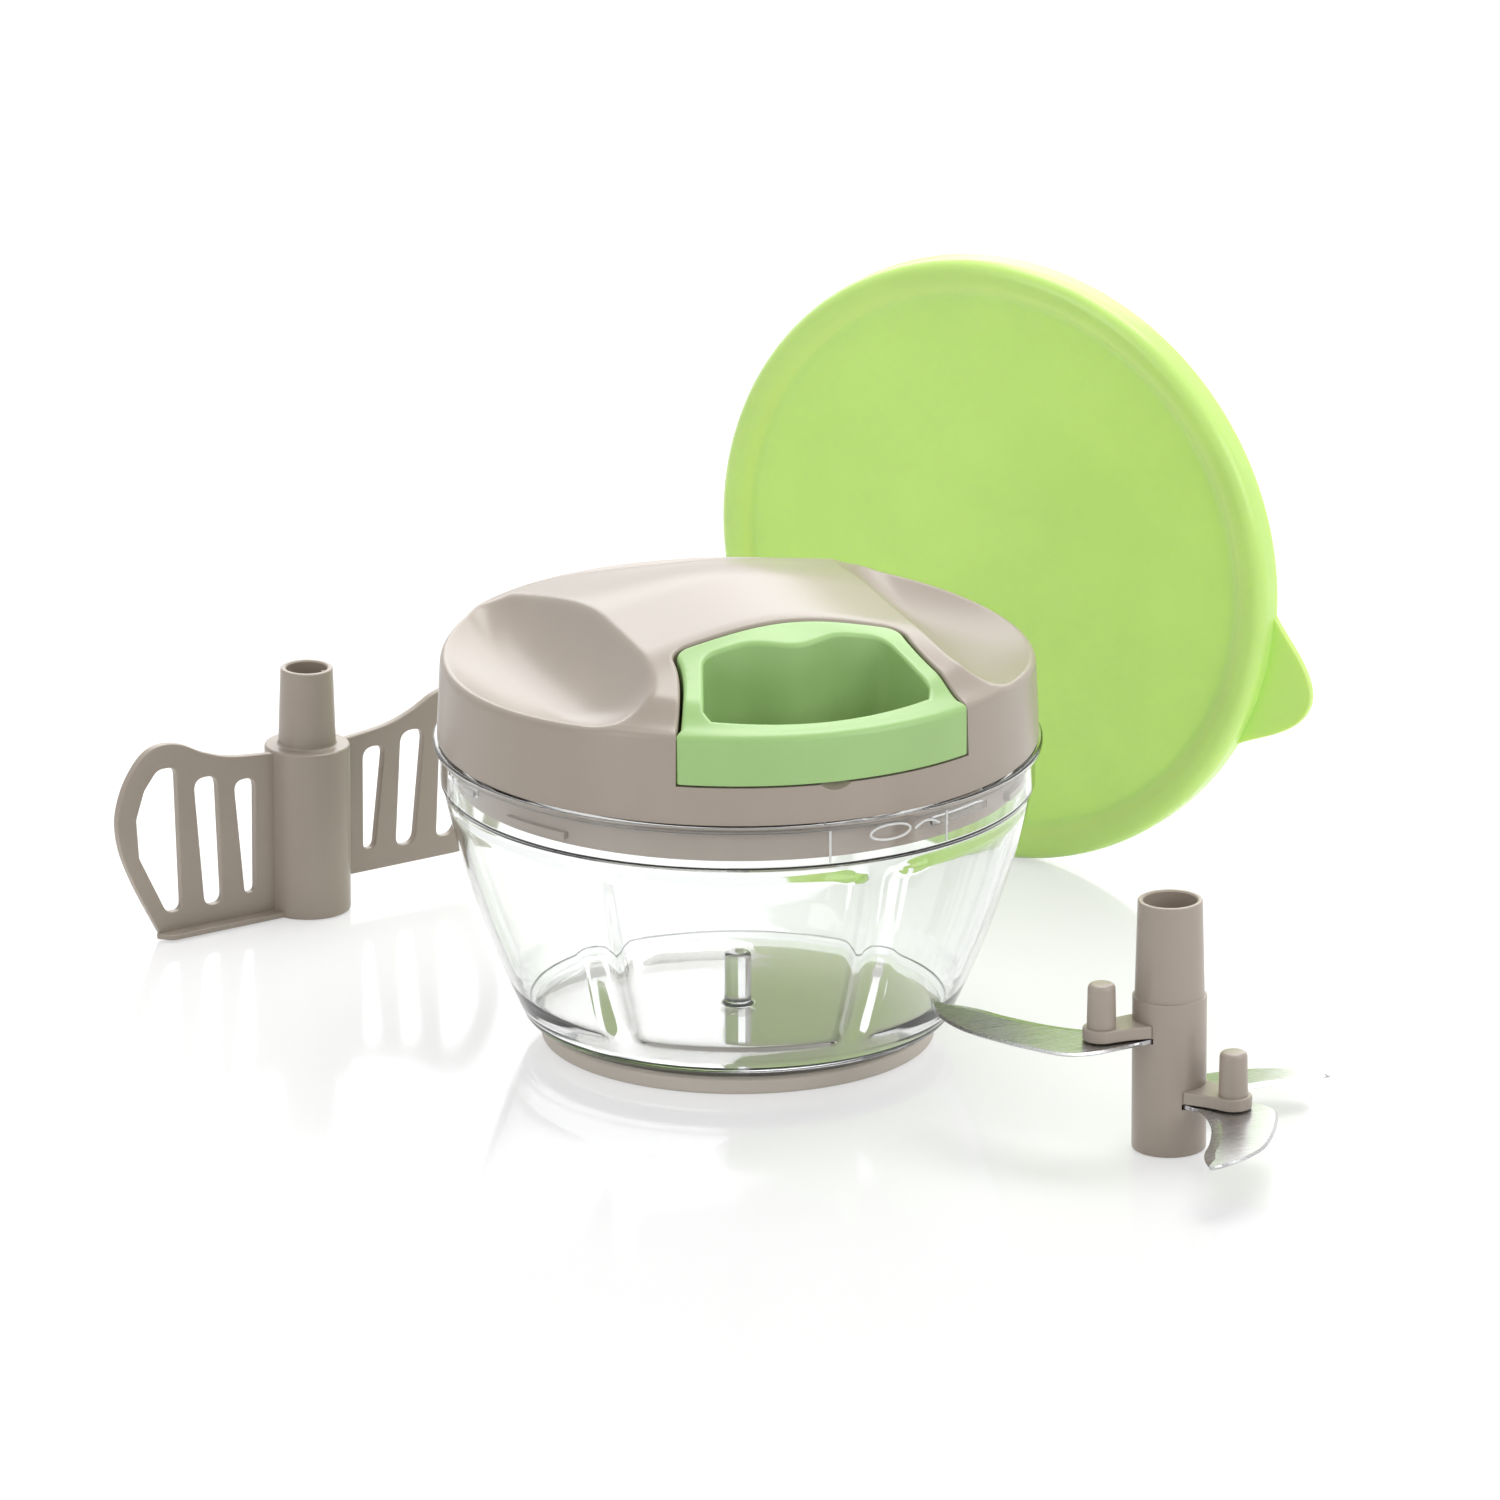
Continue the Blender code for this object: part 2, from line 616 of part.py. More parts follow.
def screw_angles():
    return [SCREW_FIRST_ANGLE + SCREW_SPREAD * turn for turn in (-1, 0, 1)]


def screw_places():
    return [(SCREW_CIRCLE * cos(radians(turn)), SCREW_CIRCLE * sin(radians(turn))) for turn in screw_angles()]


def ear_places():
    reach = FLANGE_RADIUS + EAR_REACH
    return [(reach, 0.0), (-reach, 0.0)]


def cover_shell(look):
    """Cover with its ridge, finger scoops, handle pocket and inner bosses."""
    made = crown_body("cover_shell", look)
    ceiling = CEILING + WALL
    cavity = cavity_body()
    block = prism(handle_plan(POCKET_GAP + POCKET_WALL), POCKET_FLOOR - POCKET_WALL, ceiling)
    combine(cavity, finish("pocket_block", block), "DIFFERENCE")

    bosses = bmesh.new()
    boss_radius = SCREW_RADIUS + GAP + BOSS_WALL
    for x, y in screw_places():
        add_cylinder(bosses, boss_radius, (x, y, SKIRT_BOTTOM - 2 * WALL), (x, y, ceiling))
    for x, y in ear_places():
        add_cylinder(bosses, boss_radius, (x, y, CUP_TOP + GAP), (x, y, ceiling))
    add_cylinder(bosses, AXLE_BOSS_RADIUS, (0, 0, CUP_TOP + GAP), (0, 0, ceiling))
    combine(cavity, finish("cover_bosses", bosses), "DIFFERENCE")

    notch_wall = bmesh.new()
    notch_back = -SKIRT_RADIUS + NOTCH_DEPTH
    notch_height = POCKET_FLOOR + NOTCH_RAISE
    add_cylinder(notch_wall, NOTCH_RADIUS + WALL, (0, -SKIRT_RADIUS, notch_height),
                 (0, notch_back + WALL, notch_height))
    combine(cavity, finish("notch_wall", notch_wall), "DIFFERENCE")
    combine(made, cavity, "DIFFERENCE")

    pocket = prism(handle_plan(POCKET_GAP), POCKET_FLOOR, ceiling)
    combine(made, finish("handle_pocket", pocket), "DIFFERENCE")

    bores = bmesh.new()
    for x, y in screw_places():
        add_cylinder(bores, SCREW_RADIUS + GAP, (x, y, SKIRT_BOTTOM - WALL),
                     (x, y, PLATE_UNDERSIDE + SCREW_LENGTH + 2 * GAP))
    for x, y in ear_places():
        add_cylinder(bores, SCREW_RADIUS + GAP, (x, y, CUP_TOP),
                     (x, y, CUP_CEILING + CUP_SCREW_LENGTH + 2 * GAP))
    add_cylinder(bores, AXLE_RADIUS + GAP, (0, 0, CUP_TOP), (0, 0, CUP_TOP + AXLE_GRIP + 2 * GAP))
    add_cylinder(bores, EYELET_RADIUS + GAP, (0, HANDLE_BACK_Y - WALL, CORD_HEIGHT),
                 (0, HANDLE_BACK_Y + POCKET_GAP + POCKET_WALL + WALL, CORD_HEIGHT))
    add_cylinder(bores, NOTCH_RADIUS, (0, -SKIRT_RADIUS - WALL, notch_height), (0, notch_back, notch_height),
                 MEDIUM_STEPS)
    combine(made, finish("cover_bores", bores), "DIFFERENCE")
    return made


def cover_plate(look):
    """Plate that closes the cover from below and plugs the bowl's collar."""
    bore = SHAFT_RADIUS + GAP + BUSHING_WALL + GAP
    inner = PLUG_RADIUS - PLUG_WALL
    low = RIM_HEIGHT - PLUG_DEPTH
    ledge = COLLAR_BORE - RUNNING_GAP
    lip_top = SKIRT_BOTTOM + LIP_RISE
    edge = GAP
    profile = [
        (bore, PLATE_UNDERSIDE), (inner, PLATE_UNDERSIDE), (inner, low + edge), (inner + edge, low),
        (PLUG_RADIUS - edge, low), (PLUG_RADIUS, low + edge),
        (PLUG_RADIUS, PLATE_TOP - LEDGE_THICKNESS), (ledge, PLATE_TOP - LEDGE_THICKNESS),
        (ledge, PLATE_TOP), (PLUG_RADIUS, PLATE_TOP), (PLUG_RADIUS, lip_top),
        (inner, lip_top), (inner, PLATE_TOP), (bore, PLATE_TOP),
    ]
    made = finish("cover_plate", turned(profile, LARGE_STEPS), look)

    lugs = bmesh.new()
    top = RIM_HEIGHT - LUG_DROP - LUG_THICKNESS - 2 * GAP
    for index in range(LOCK_COUNT):
        middle = LOCK_ANGLE + LOCK_TURN + 360 * index / LOCK_COUNT
        sector(PLUG_RADIUS - PLUG_WALL / 2, ledge, middle, LUG_HALF_ANGLE, top - LUG_THICKNESS, top, lugs)
    combine(made, finish("plate_lugs", lugs), "UNION")

    posts = bmesh.new()
    holes = bmesh.new()
    for x, y in screw_places():
        add_cylinder(posts, SCREW_RADIUS + GAP + BOSS_WALL, (x, y, PLATE_TOP - PLATE_THICKNESS / 2),
                     (x, y, SKIRT_BOTTOM - GAP))
        add_cylinder(holes, SCREW_RADIUS + GAP, (x, y, PLATE_UNDERSIDE - WALL), (x, y, SKIRT_BOTTOM + WALL))
    combine(made, finish("plate_posts", posts), "UNION")
    combine(made, finish("plate_holes", holes), "DIFFERENCE")
    return made


def cover_seal(look):
    """Rubber ring between the plug and the bowl's collar."""
    low = PLATE_TOP + GAP
    inner, outer = PLUG_RADIUS + GAP, COLLAR_BORE - GAP
    profile = [(inner, low), (outer, low), (outer, low + SEAL_THICKNESS), (inner, low + SEAL_THICKNESS)]
    return finish("cover_seal", turned(profile, LARGE_STEPS), look)


def screw(name, x, y, head_low, length, look):
    """Pan-head screw driven upwards; the length is that of the shank."""
    head_top = head_low + SCREW_HEAD_HEIGHT
    cross = SCREW_HEAD_RADIUS / 5
    profile = [
        (0, head_low + cross), (cross, head_low + cross), (2 * cross, head_low),
        (SCREW_HEAD_RADIUS - cross, head_low), (SCREW_HEAD_RADIUS, head_low + cross),
        (SCREW_HEAD_RADIUS, head_top), (SCREW_RADIUS, head_top),
        (SCREW_RADIUS, head_top + length - SCREW_RADIUS), (0, head_top + length),
    ]
    made = finish(name, turned(profile, SMALL_STEPS, closed=False), look)
    made.location = (x, y, 0)
    return made


def spool(look):
    """Drum that the cord winds on, with the stem and the spring's arbor."""
    stem_low = PLATE_TOP + GAP + FINE_WALL + GAP + SHAFT_SEAL_HEIGHT + GAP
    shaft_bore = SHAFT_RADIUS + GAP
    shaft_top = LOWER_FLANGE + GAP
    axle_bore = AXLE_RADIUS + GAP
    profile = [
        (0, shaft_top), (shaft_bore, shaft_top), (shaft_bore, stem_low), (STEM_RADIUS, stem_low),
        (STEM_RADIUS, LOWER_FLANGE - FLANGE_THICKNESS), (FLANGE_RADIUS, LOWER_FLANGE - FLANGE_THICKNESS),
        (FLANGE_RADIUS, LOWER_FLANGE), (DRUM_RADIUS, LOWER_FLANGE), (DRUM_RADIUS, UPPER_FLANGE),
        (FLANGE_RADIUS, UPPER_FLANGE), (FLANGE_RADIUS, SPOOL_TOP), (ARBOR_RADIUS, SPOOL_TOP),
        (ARBOR_RADIUS, ARBOR_TOP), (axle_bore, ARBOR_TOP), (axle_bore, CORD_HEIGHT), (0, CORD_HEIGHT),
    ]
    return finish("spool", turned(profile, MEDIUM_STEPS, closed=False), look)


def drive_shaft(look):
    """Shaft from the spool down to the keyed coupler for the inserts."""
    top = LOWER_FLANGE
    edge = KEY_DEPTH / 2
    profile = [
        (0, COUPLER_BOTTOM), (COUPLER_RADIUS - edge, COUPLER_BOTTOM), (COUPLER_RADIUS, COUPLER_BOTTOM + edge),
        (COUPLER_RADIUS, COUPLER_TOP), (SHAFT_RADIUS, COUPLER_TOP), (SHAFT_RADIUS, top), (0, top),
    ]
    made = finish("drive_shaft", turned(profile, 2 * SMALL_STEPS, closed=False), look)
    half = KEY_WIDTH / 2 + GAP
    depth = COUPLER_RADIUS - KEY_DEPTH - 2 * GAP
    outline = [(depth, -half), (COUPLER_RADIUS + WALL, -half), (COUPLER_RADIUS + WALL, half), (depth, half)]
    groove = prism(outline, COUPLER_BOTTOM - WALL, COUPLER_TOP - FINE_WALL)
    combine(made, finish("coupler_groove", groove), "DIFFERENCE")
    return made


def shaft_bushing(look):
    """Flanged sleeve that the drive shaft turns in."""
    inner = SHAFT_RADIUS + GAP
    outer = inner + BUSHING_WALL
    flange_low = PLATE_TOP + GAP
    profile = [
        (inner, PLATE_UNDERSIDE), (outer, PLATE_UNDERSIDE), (outer, flange_low),
        (outer + BUSHING_FLANGE, flange_low), (outer + BUSHING_FLANGE, flange_low + FINE_WALL),
        (inner, flange_low + FINE_WALL),
    ]
    return finish("shaft_bushing", turned(profile, 2 * SMALL_STEPS), look)


def shaft_seal(look):
    """Rubber ring on the bushing that keeps food out of the mechanism."""
    inner = SHAFT_RADIUS + GAP
    outer = inner + BUSHING_WALL
    low = PLATE_TOP + GAP + FINE_WALL + GAP
    profile = [(inner, low), (outer, low), (outer, low + SHAFT_SEAL_HEIGHT), (inner, low + SHAFT_SEAL_HEIGHT)]
    return finish("shaft_seal", turned(profile, 2 * SMALL_STEPS), look)


def cord_winding(look):
    """Cord wound on the drum, as one ring of its outer shape."""
    inner = DRUM_RADIUS + GAP
    outer = inner + WINDING_THICKNESS
    low, high = LOWER_FLANGE + GAP, UPPER_FLANGE - GAP
    profile = [(inner, low), (outer, low), (outer, high), (inner, high)]
    return finish("cord_winding", turned(profile, MEDIUM_STEPS), look)


def tube(name, points, radius, look):
    """Round cord along a list of points."""
    line = bpy.data.curves.new(name, "CURVE")
    line.dimensions = "3D"
    line.bevel_depth = radius
    line.bevel_resolution = 2
    line.use_fill_caps = True
    spline = line.splines.new("POLY")
    spline.points.add(len(points) - 1)
    for item, point in zip(spline.points, points):
        item.co = (*point, 1.0)
    made = bpy.data.objects.new(name, line)
    bpy.context.scene.collection.objects.link(made)
    line.materials.append(look)
    return made


def smooth_route(points, steps):
    """Catmull-Rom curve through the route's own points."""
    chain = [points[0]] + list(points) + [points[-1]]
    route = []
    for before, start, end, after in zip(chain, chain[1:], chain[2:], chain[3:]):
        before, start, end, after = map(Vector, (before, start, end, after))
        for step in range(steps):
            t = step / steps
            route.append(0.5 * (2 * start + (end - before) * t
                                + (2 * before - 5 * start + 4 * end - after) * t * t
                                + (3 * start - before - 3 * end + after) * t ** 3))
    return route + [Vector(points[-1])]


def pull_cord(look):
    """Cord from the drum through the eyelet to the knot in the handle."""
    ring = DRUM_RADIUS + GAP + WINDING_THICKNESS + GAP + CORD_RADIUS
    eyelet_back = HANDLE_BACK_Y + POCKET_GAP + POCKET_WALL + GAP + EYELET_FLANGE
    bend = eyelet_back + 2 * CORD_RADIUS
    turn = radians(-90) + acos(ring / -bend) if ring < -bend else 0.0
    leave = Vector((ring * cos(turn), ring * sin(turn), CORD_HEIGHT))
    enter = Vector((0, eyelet_back, CORD_HEIGHT))
    bump_face = OPENING_BACK_Y - FINGER_BUMP
    seat = bump_face + KNOT_LENGTH + 2 * GAP + FINE_WALL / 2
    near = leave.lerp(enter, 0.80) + Vector((CORD_RADIUS / 3, 0, 0))
    route = [leave, leave.lerp(enter, 0.4), near, enter,
             Vector((0, HANDLE_BACK_Y, CORD_HEIGHT)), Vector((0, seat + GAP, CORD_HEIGHT))]
    return tube("pull_cord", smooth_route(route, 3), CORD_RADIUS, look)


def cord_knot(look):
    """Crimped stop that holds the cord's end in the handle."""
    bump_face = OPENING_BACK_Y - FINGER_BUMP
    front = bump_face + FINE_WALL / 2
    shape = bmesh.new()
    add_cylinder(shape, KNOT_RADIUS, (0, front, CORD_HEIGHT), (0, front + KNOT_LENGTH, CORD_HEIGHT))
    return finish("cord_knot", shape, look)


def cord_eyelet(look):
    """Smooth ring that the cord runs through in the pocket's back wall."""
    bore = CORD_RADIUS + RUNNING_GAP
    length = POCKET_WALL + GAP
    profile = [
        (bore, 0), (EYELET_RADIUS, 0), (EYELET_RADIUS, length), (EYELET_RADIUS + EYELET_FLANGE, length),
        (EYELET_RADIUS + EYELET_FLANGE, length + EYELET_FLANGE), (bore, length + EYELET_FLANGE),
    ]
    made = finish("cord_eyelet", turned(profile, SMALL_STEPS), look)
    made.location = (0, HANDLE_BACK_Y + POCKET_GAP, CORD_HEIGHT)
    made.rotation_euler = (radians(-90), 0, 0)
    return made


def recoil_spring(look):
    """Flat spiral spring from the arbor out to the cup's wall."""
    inner = ARBOR_RADIUS + GAP
    outer = FLANGE_RADIUS - CUP_WALL - GAP - SPRING_THICKNESS
    low = CUP_BOTTOM + GAP
    count = SPRING_TURNS * SPRING_STEPS
    shape = bmesh.new()
    loops = []
    for index in range(count + 1):
        turn = 2 * pi * index / SPRING_STEPS
        radius = inner + (outer - inner) * index / count
        spoke = Vector((cos(turn), sin(turn), 0))
        corners = ((radius, low), (radius + SPRING_THICKNESS, low),
                   (radius + SPRING_THICKNESS, low + SPRING_HEIGHT), (radius, low + SPRING_HEIGHT))
        loops.append([shape.verts.new(spoke * r + Vector((0, 0, z))) for r, z in corners])
    for first, second in zip(loops, loops[1:]):
        for index in range(4):
            after = (index + 1) % 4
            shape.faces.new((first[index], first[after], second[after], second[index]))
    shape.faces.new(loops[0])
    shape.faces.new(loops[-1])
    return finish("recoil_spring", shape, look)


def spring_cup(look):
    """Cup over the recoil spring, screwed to the cover by two ears."""
    bore = AXLE_RADIUS + GAP
    profile = [
        (bore, CUP_CEILING), (FLANGE_RADIUS - CUP_WALL, CUP_CEILING), (FLANGE_RADIUS - CUP_WALL, CUP_BOTTOM),
        (FLANGE_RADIUS, CUP_BOTTOM), (FLANGE_RADIUS, CUP_TOP), (bore, CUP_TOP),
    ]
    made = finish("spring_cup", turned(profile, MEDIUM_STEPS), look)
    ears = bmesh.new()
    holes = bmesh.new()
    for x, y in ear_places():
        add_cylinder(ears, EAR_RADIUS, (x, y, CUP_CEILING), (x, y, CUP_TOP))
        add_cylinder(holes, SCREW_RADIUS + GAP, (x, y, CUP_CEILING - WALL), (x, y, CUP_TOP + WALL))
    combine(made, finish("cup_ears", ears), "UNION")
    combine(made, finish("cup_holes", holes), "DIFFERENCE")
    return made


def axle_pin(look):
    """Steel pin that the spool turns on, held in the cover's boss."""
    low = CORD_HEIGHT + GAP
    high = CUP_TOP + AXLE_GRIP + GAP
    shape = add_cylinder(bmesh.new(), AXLE_RADIUS, (0, 0, low), (0, 0, high), SMALL_STEPS)
    return finish("axle_pin", shape, look)


def axle_washer(look):
    """Thrust washer between the arbor and the cup."""
    inner, outer = AXLE_RADIUS + GAP, ARBOR_RADIUS
    low = ARBOR_TOP + GAP
    high = low + WASHER_THICKNESS
    profile = [(inner, low), (outer, low), (outer, high), (inner, high)]
    return finish("axle_washer", turned(profile, SMALL_STEPS), look)


def hub_body(name, look, radius, neck_start, neck_bottom, neck_top):
    """Upright hub of an insert: wide below, tapered neck above, bored from both ends."""
    step = radius - neck_bottom
    edge = min(step / 2, FINE_WALL / 2)
    profile = [
        (PIN_BORE_RADIUS, 0), (radius - edge, 0), (radius, edge), (radius, neck_start - edge),
        (radius - edge, neck_start), (neck_bottom, neck_start), (neck_top, HUB_HEIGHT - edge),
        (neck_top - edge / 2, HUB_HEIGHT), (SOCKET_RADIUS, HUB_HEIGHT),
        (SOCKET_RADIUS, HUB_HEIGHT - SOCKET_DEPTH), (0, HUB_HEIGHT - SOCKET_DEPTH),
    ]
    profile = [(0, PIN_BORE_DEPTH), (PIN_BORE_RADIUS, PIN_BORE_DEPTH)] + profile
    return finish(name, turned(profile, 2 * SMALL_STEPS, closed=False), look)


def socket_key(name, low, high):
    """Rib inside a socket that fits the coupler's groove."""
    half = KEY_WIDTH / 2
    outline = [(SOCKET_RADIUS - KEY_DEPTH, -half), (SOCKET_RADIUS + GAP, -half),
               (SOCKET_RADIUS + GAP, half), (SOCKET_RADIUS - KEY_DEPTH, half)]
    return finish(name, prism(outline, low, high))


def blade_tip_radius(height):
    """Reach of a blade that clears the bowl's inside at its height."""
    return bowl_wall_radius(BOWL_FLOOR + GAP + height) - WALL - BLADE_CLEARANCE


def blade_outline(tip):
    """Sabre outline with its root along +X; the tip trails clockwise."""
    scale = tip / BLADE_PATTERN_REACH
    root = BLADE_HUB_RADIUS - BLADE_ROOT_DEPTH
    swept = [(x * scale, y * scale) for x, y in BLADE_BACK + BLADE_EDGE]
    return [(root, -BLADE_ROOT_HALF), (root, BLADE_ROOT_HALF)] + swept


def blade(name, index, look):
    """One curved steel blade, set in a slit of the hub."""
    low = BLADE_HEIGHTS[index]
    shape = prism(blade_outline(blade_tip_radius(low)), low, low + BLADE_THICKNESS)
    bmesh.ops.triangulate(shape, faces=[face for face in shape.faces if len(face.verts) > 4])
    made = finish(name, shape, look)
    made.rotation_euler = (0, 0, radians(BLADE_FIRST_ANGLE + 120 * index))
    return made


def arm(index):
    """Arm over one blade, with the peg that stands on its end."""
    turn = Matrix.Rotation(radians(BLADE_FIRST_ANGLE + 120 * index), 4, "Z")
    low = BLADE_HEIGHTS[index] + BLADE_THICKNESS + GAP
    high = low + ARM_THICKNESS
    root = BLADE_HUB_RADIUS - FINE_WALL
    outline = [(root, -ARM_ROOT_HALF), (ARM_LENGTH - ARM_END_RADIUS, -ARM_END_RADIUS)]
    outline += arc((ARM_LENGTH, 0), ARM_END_RADIUS, -80, 80, 6)
    outline += [(ARM_LENGTH - ARM_END_RADIUS, ARM_END_RADIUS), (root, ARM_ROOT_HALF)]
    part = prism(outline, low, high)
    bmesh.ops.transform(part, matrix=turn, verts=part.verts)
    peg_low, peg_high = high - FINE_WALL, high + PEG_HEIGHT
    peg_end = PEG_RADIUS * PEG_TAPER
    profile = [(0, peg_low), (PEG_RADIUS, peg_low), (peg_end, peg_high - PEG_CHAMFER),
               (peg_end - PEG_CHAMFER, peg_high), (0, peg_high)]
    peg = turned(profile, SMALL_STEPS, closed=False)
    bmesh.ops.transform(peg, matrix=turn @ Matrix.Translation((ARM_LENGTH, 0, 0)), verts=peg.verts)
    return finish(f"blade_arm_{index}", part), finish(f"blade_peg_{index}", peg)


def blade_insert(parent, plastic, steel):
    """Hub with three arms and three blades, standing on the table."""
    hub = hub_body("blade_hub", plastic, BLADE_HUB_RADIUS, BLADE_NECK_START, BLADE_NECK_BOTTOM, BLADE_NECK_TOP)
    place(parent, hub)
    for index, name in enumerate(("blade_upper", "blade_middle", "blade_lower")):
        for piece in arm(index):
            place(parent, piece)
            combine(hub, piece, "UNION")
    mouth = bmesh.new()
    add_cylinder(mouth, BLADE_MOUTH_RADIUS, (0, 0, HUB_HEIGHT - BLADE_MOUTH_DEPTH),
                 (0, 0, HUB_HEIGHT + WALL), 2 * SMALL_STEPS)
    mouth = finish("blade_mouth", mouth)
    place(parent, mouth)
    combine(hub, mouth, "DIFFERENCE")
    key = socket_key("blade_key", HUB_HEIGHT - SOCKET_DEPTH - FINE_WALL, HUB_HEIGHT - BLADE_MOUTH_DEPTH - GAP)
    place(parent, key)
    combine(hub, key, "UNION")
    for index, name in enumerate(("blade_upper", "blade_middle", "blade_lower")):
        low = BLADE_HEIGHTS[index]
        root = BLADE_HUB_RADIUS - BLADE_ROOT_DEPTH - GAP
        half = BLADE_ROOT_HALF + GAP
        reach = BLADE_HUB_RADIUS + WALL
        outline = [(root, -half), (reach, -half - FINE_WALL), (reach, half + FINE_WALL), (root, half)]
        slit = finish(f"{name}_slit", prism(outline, low - GAP, low + BLADE_THICKNESS + GAP))
        slit.rotation_euler = (0, 0, radians(BLADE_FIRST_ANGLE + 120 * index))
        steel_blade = blade(name, index, steel)
        place(parent, slit, steel_blade)
        combine(hub, slit, "DIFFERENCE")


def upright(outline, thickness):
    """Stand a side outline up as a plate in the XZ plane."""
    shape = prism(outline, -thickness / 2, thickness / 2)
    bmesh.ops.rotate(shape, verts=shape.verts, cent=(0, 0, 0), matrix=Matrix.Rotation(radians(90), 3, "X"))
    return shape


def paddle(parent, look):
    """Mixing paddle: hub with two slotted wings, the left one with a foot."""
    hub = hub_body("paddle", look, PADDLE_HUB_RADIUS, PADDLE_NECK_START, PADDLE_NECK_BOTTOM, PADDLE_NECK_TOP)
    place(parent, hub)
    key = socket_key("paddle_key", HUB_HEIGHT - SOCKET_DEPTH - FINE_WALL, HUB_HEIGHT - FINE_WALL)
    place(parent, key)
    combine(hub, key, "UNION")
    for index, bottom in enumerate((2 * GAP, PADDLE_RAISED_BOTTOM)):
        outline = [(reach, max(height, bottom)) for reach, height in WING_OUTLINE]
        wing = finish(f"wing_{index}", upright(outline, PADDLE_WING_THICKNESS))
        wing.rotation_euler = (0, 0, radians(PADDLE_ANGLE + 180 * index))
        top = max(height for reach, height in WING_OUTLINE)
        for number, slot in enumerate((INNER_SLOT, MIDDLE_SLOT, OUTER_SLOT)):
            raised = [(reach, height + bottom * (1 - height / top)) for reach, height in slot]
            corners = rounded(raised, [SLOT_CORNER] * len(raised), 2)
            cut = finish(f"wing_slot_{index}_{number}", upright(corners, 3 * PADDLE_WING_THICKNESS))
            cut.rotation_euler = wing.rotation_euler
            place(parent, cut)
            combine(wing, cut, "DIFFERENCE")
        place(parent, wing)
        combine(hub, wing, "UNION")
    end = WING_OUTLINE[-2][0]
    root = PADDLE_HUB_RADIUS - WALL
    outline = [(root, 0), (root, PADDLE_FOOT_WIDTH), (end - PADDLE_FOOT_WIDTH, PADDLE_FOOT_WIDTH), (end, 0)]
    foot = finish("paddle_foot", prism(outline, GAP, GAP + PADDLE_FOOT_THICKNESS))
    foot.rotation_euler = (0, 0, radians(PADDLE_ANGLE))
    place(parent, foot)
    combine(hub, foot, "UNION")
    pin_bore = finish("paddle_pin_bore", add_cylinder(bmesh.new(), PIN_BORE_RADIUS, (0, 0, -WALL),
                                                      (0, 0, PIN_BORE_DEPTH - GAP), 2 * SMALL_STEPS))
    place(parent, pin_bore)
    combine(hub, pin_bore, "DIFFERENCE")


def storage_lid(parent, look):
    """Soft lid for the bowl, with a channel for the rim and a pull tab."""
    channel_outer = RIM_RADIUS + RUNNING_GAP
    channel_inner = COLLAR_BORE - RUNNING_GAP
    ring = channel_inner - LID_WALL
    round_width = (LID_RADIUS - ring) / 5
    profile = [
        (0, -LID_PANEL_DROP), (ring - round_width, -LID_PANEL_DROP), (ring, -LID_PANEL_DROP * 0.8),
        (ring + round_width, -LID_PANEL_DROP * 0.2), (ring + 2 * round_width, 0),
        (LID_RADIUS - 1.4 * round_width, 0), (LID_RADIUS - 0.5 * round_width, -0.3 * LID_PANEL_DROP),
        (LID_RADIUS, -LID_PANEL_DROP), (LID_RADIUS, -LID_HEIGHT), (channel_outer, -LID_HEIGHT),
        (channel_outer, -LID_WALL), (channel_inner, -LID_WALL), (channel_inner, -LID_HEIGHT),
        (ring, -LID_HEIGHT), (ring, -LID_PANEL_DROP - LID_WALL), (0, -LID_PANEL_DROP - LID_WALL),
    ]
    made = finish("storage_lid", turned(profile, LARGE_STEPS, closed=False), look)
    start = LID_TAB_ANGLE - LID_TAB_HALF_ANGLE
    end = LID_TAB_ANGLE + LID_TAB_HALF_ANGLE
    root = (LID_RADIUS + channel_outer) / 2
    steps = 16
    edge = []
    for index in range(steps + 1):
        share = index / steps
        reach = root + (LID_RADIUS + LID_TAB_REACH - root) * (1 - cos(2 * pi * share)) / 2
        angle = radians(start + (end - start) * share)
        edge.append((reach * cos(angle), reach * sin(angle)))
    outline = edge + arc((0, 0), root, end, start, 4)
    tab = finish("lid_tab", prism(outline, -LID_HEIGHT, -LID_HEIGHT + LID_TAB_THICKNESS))
    combine(made, tab, "UNION")
    place(parent, made, tab)
    return made


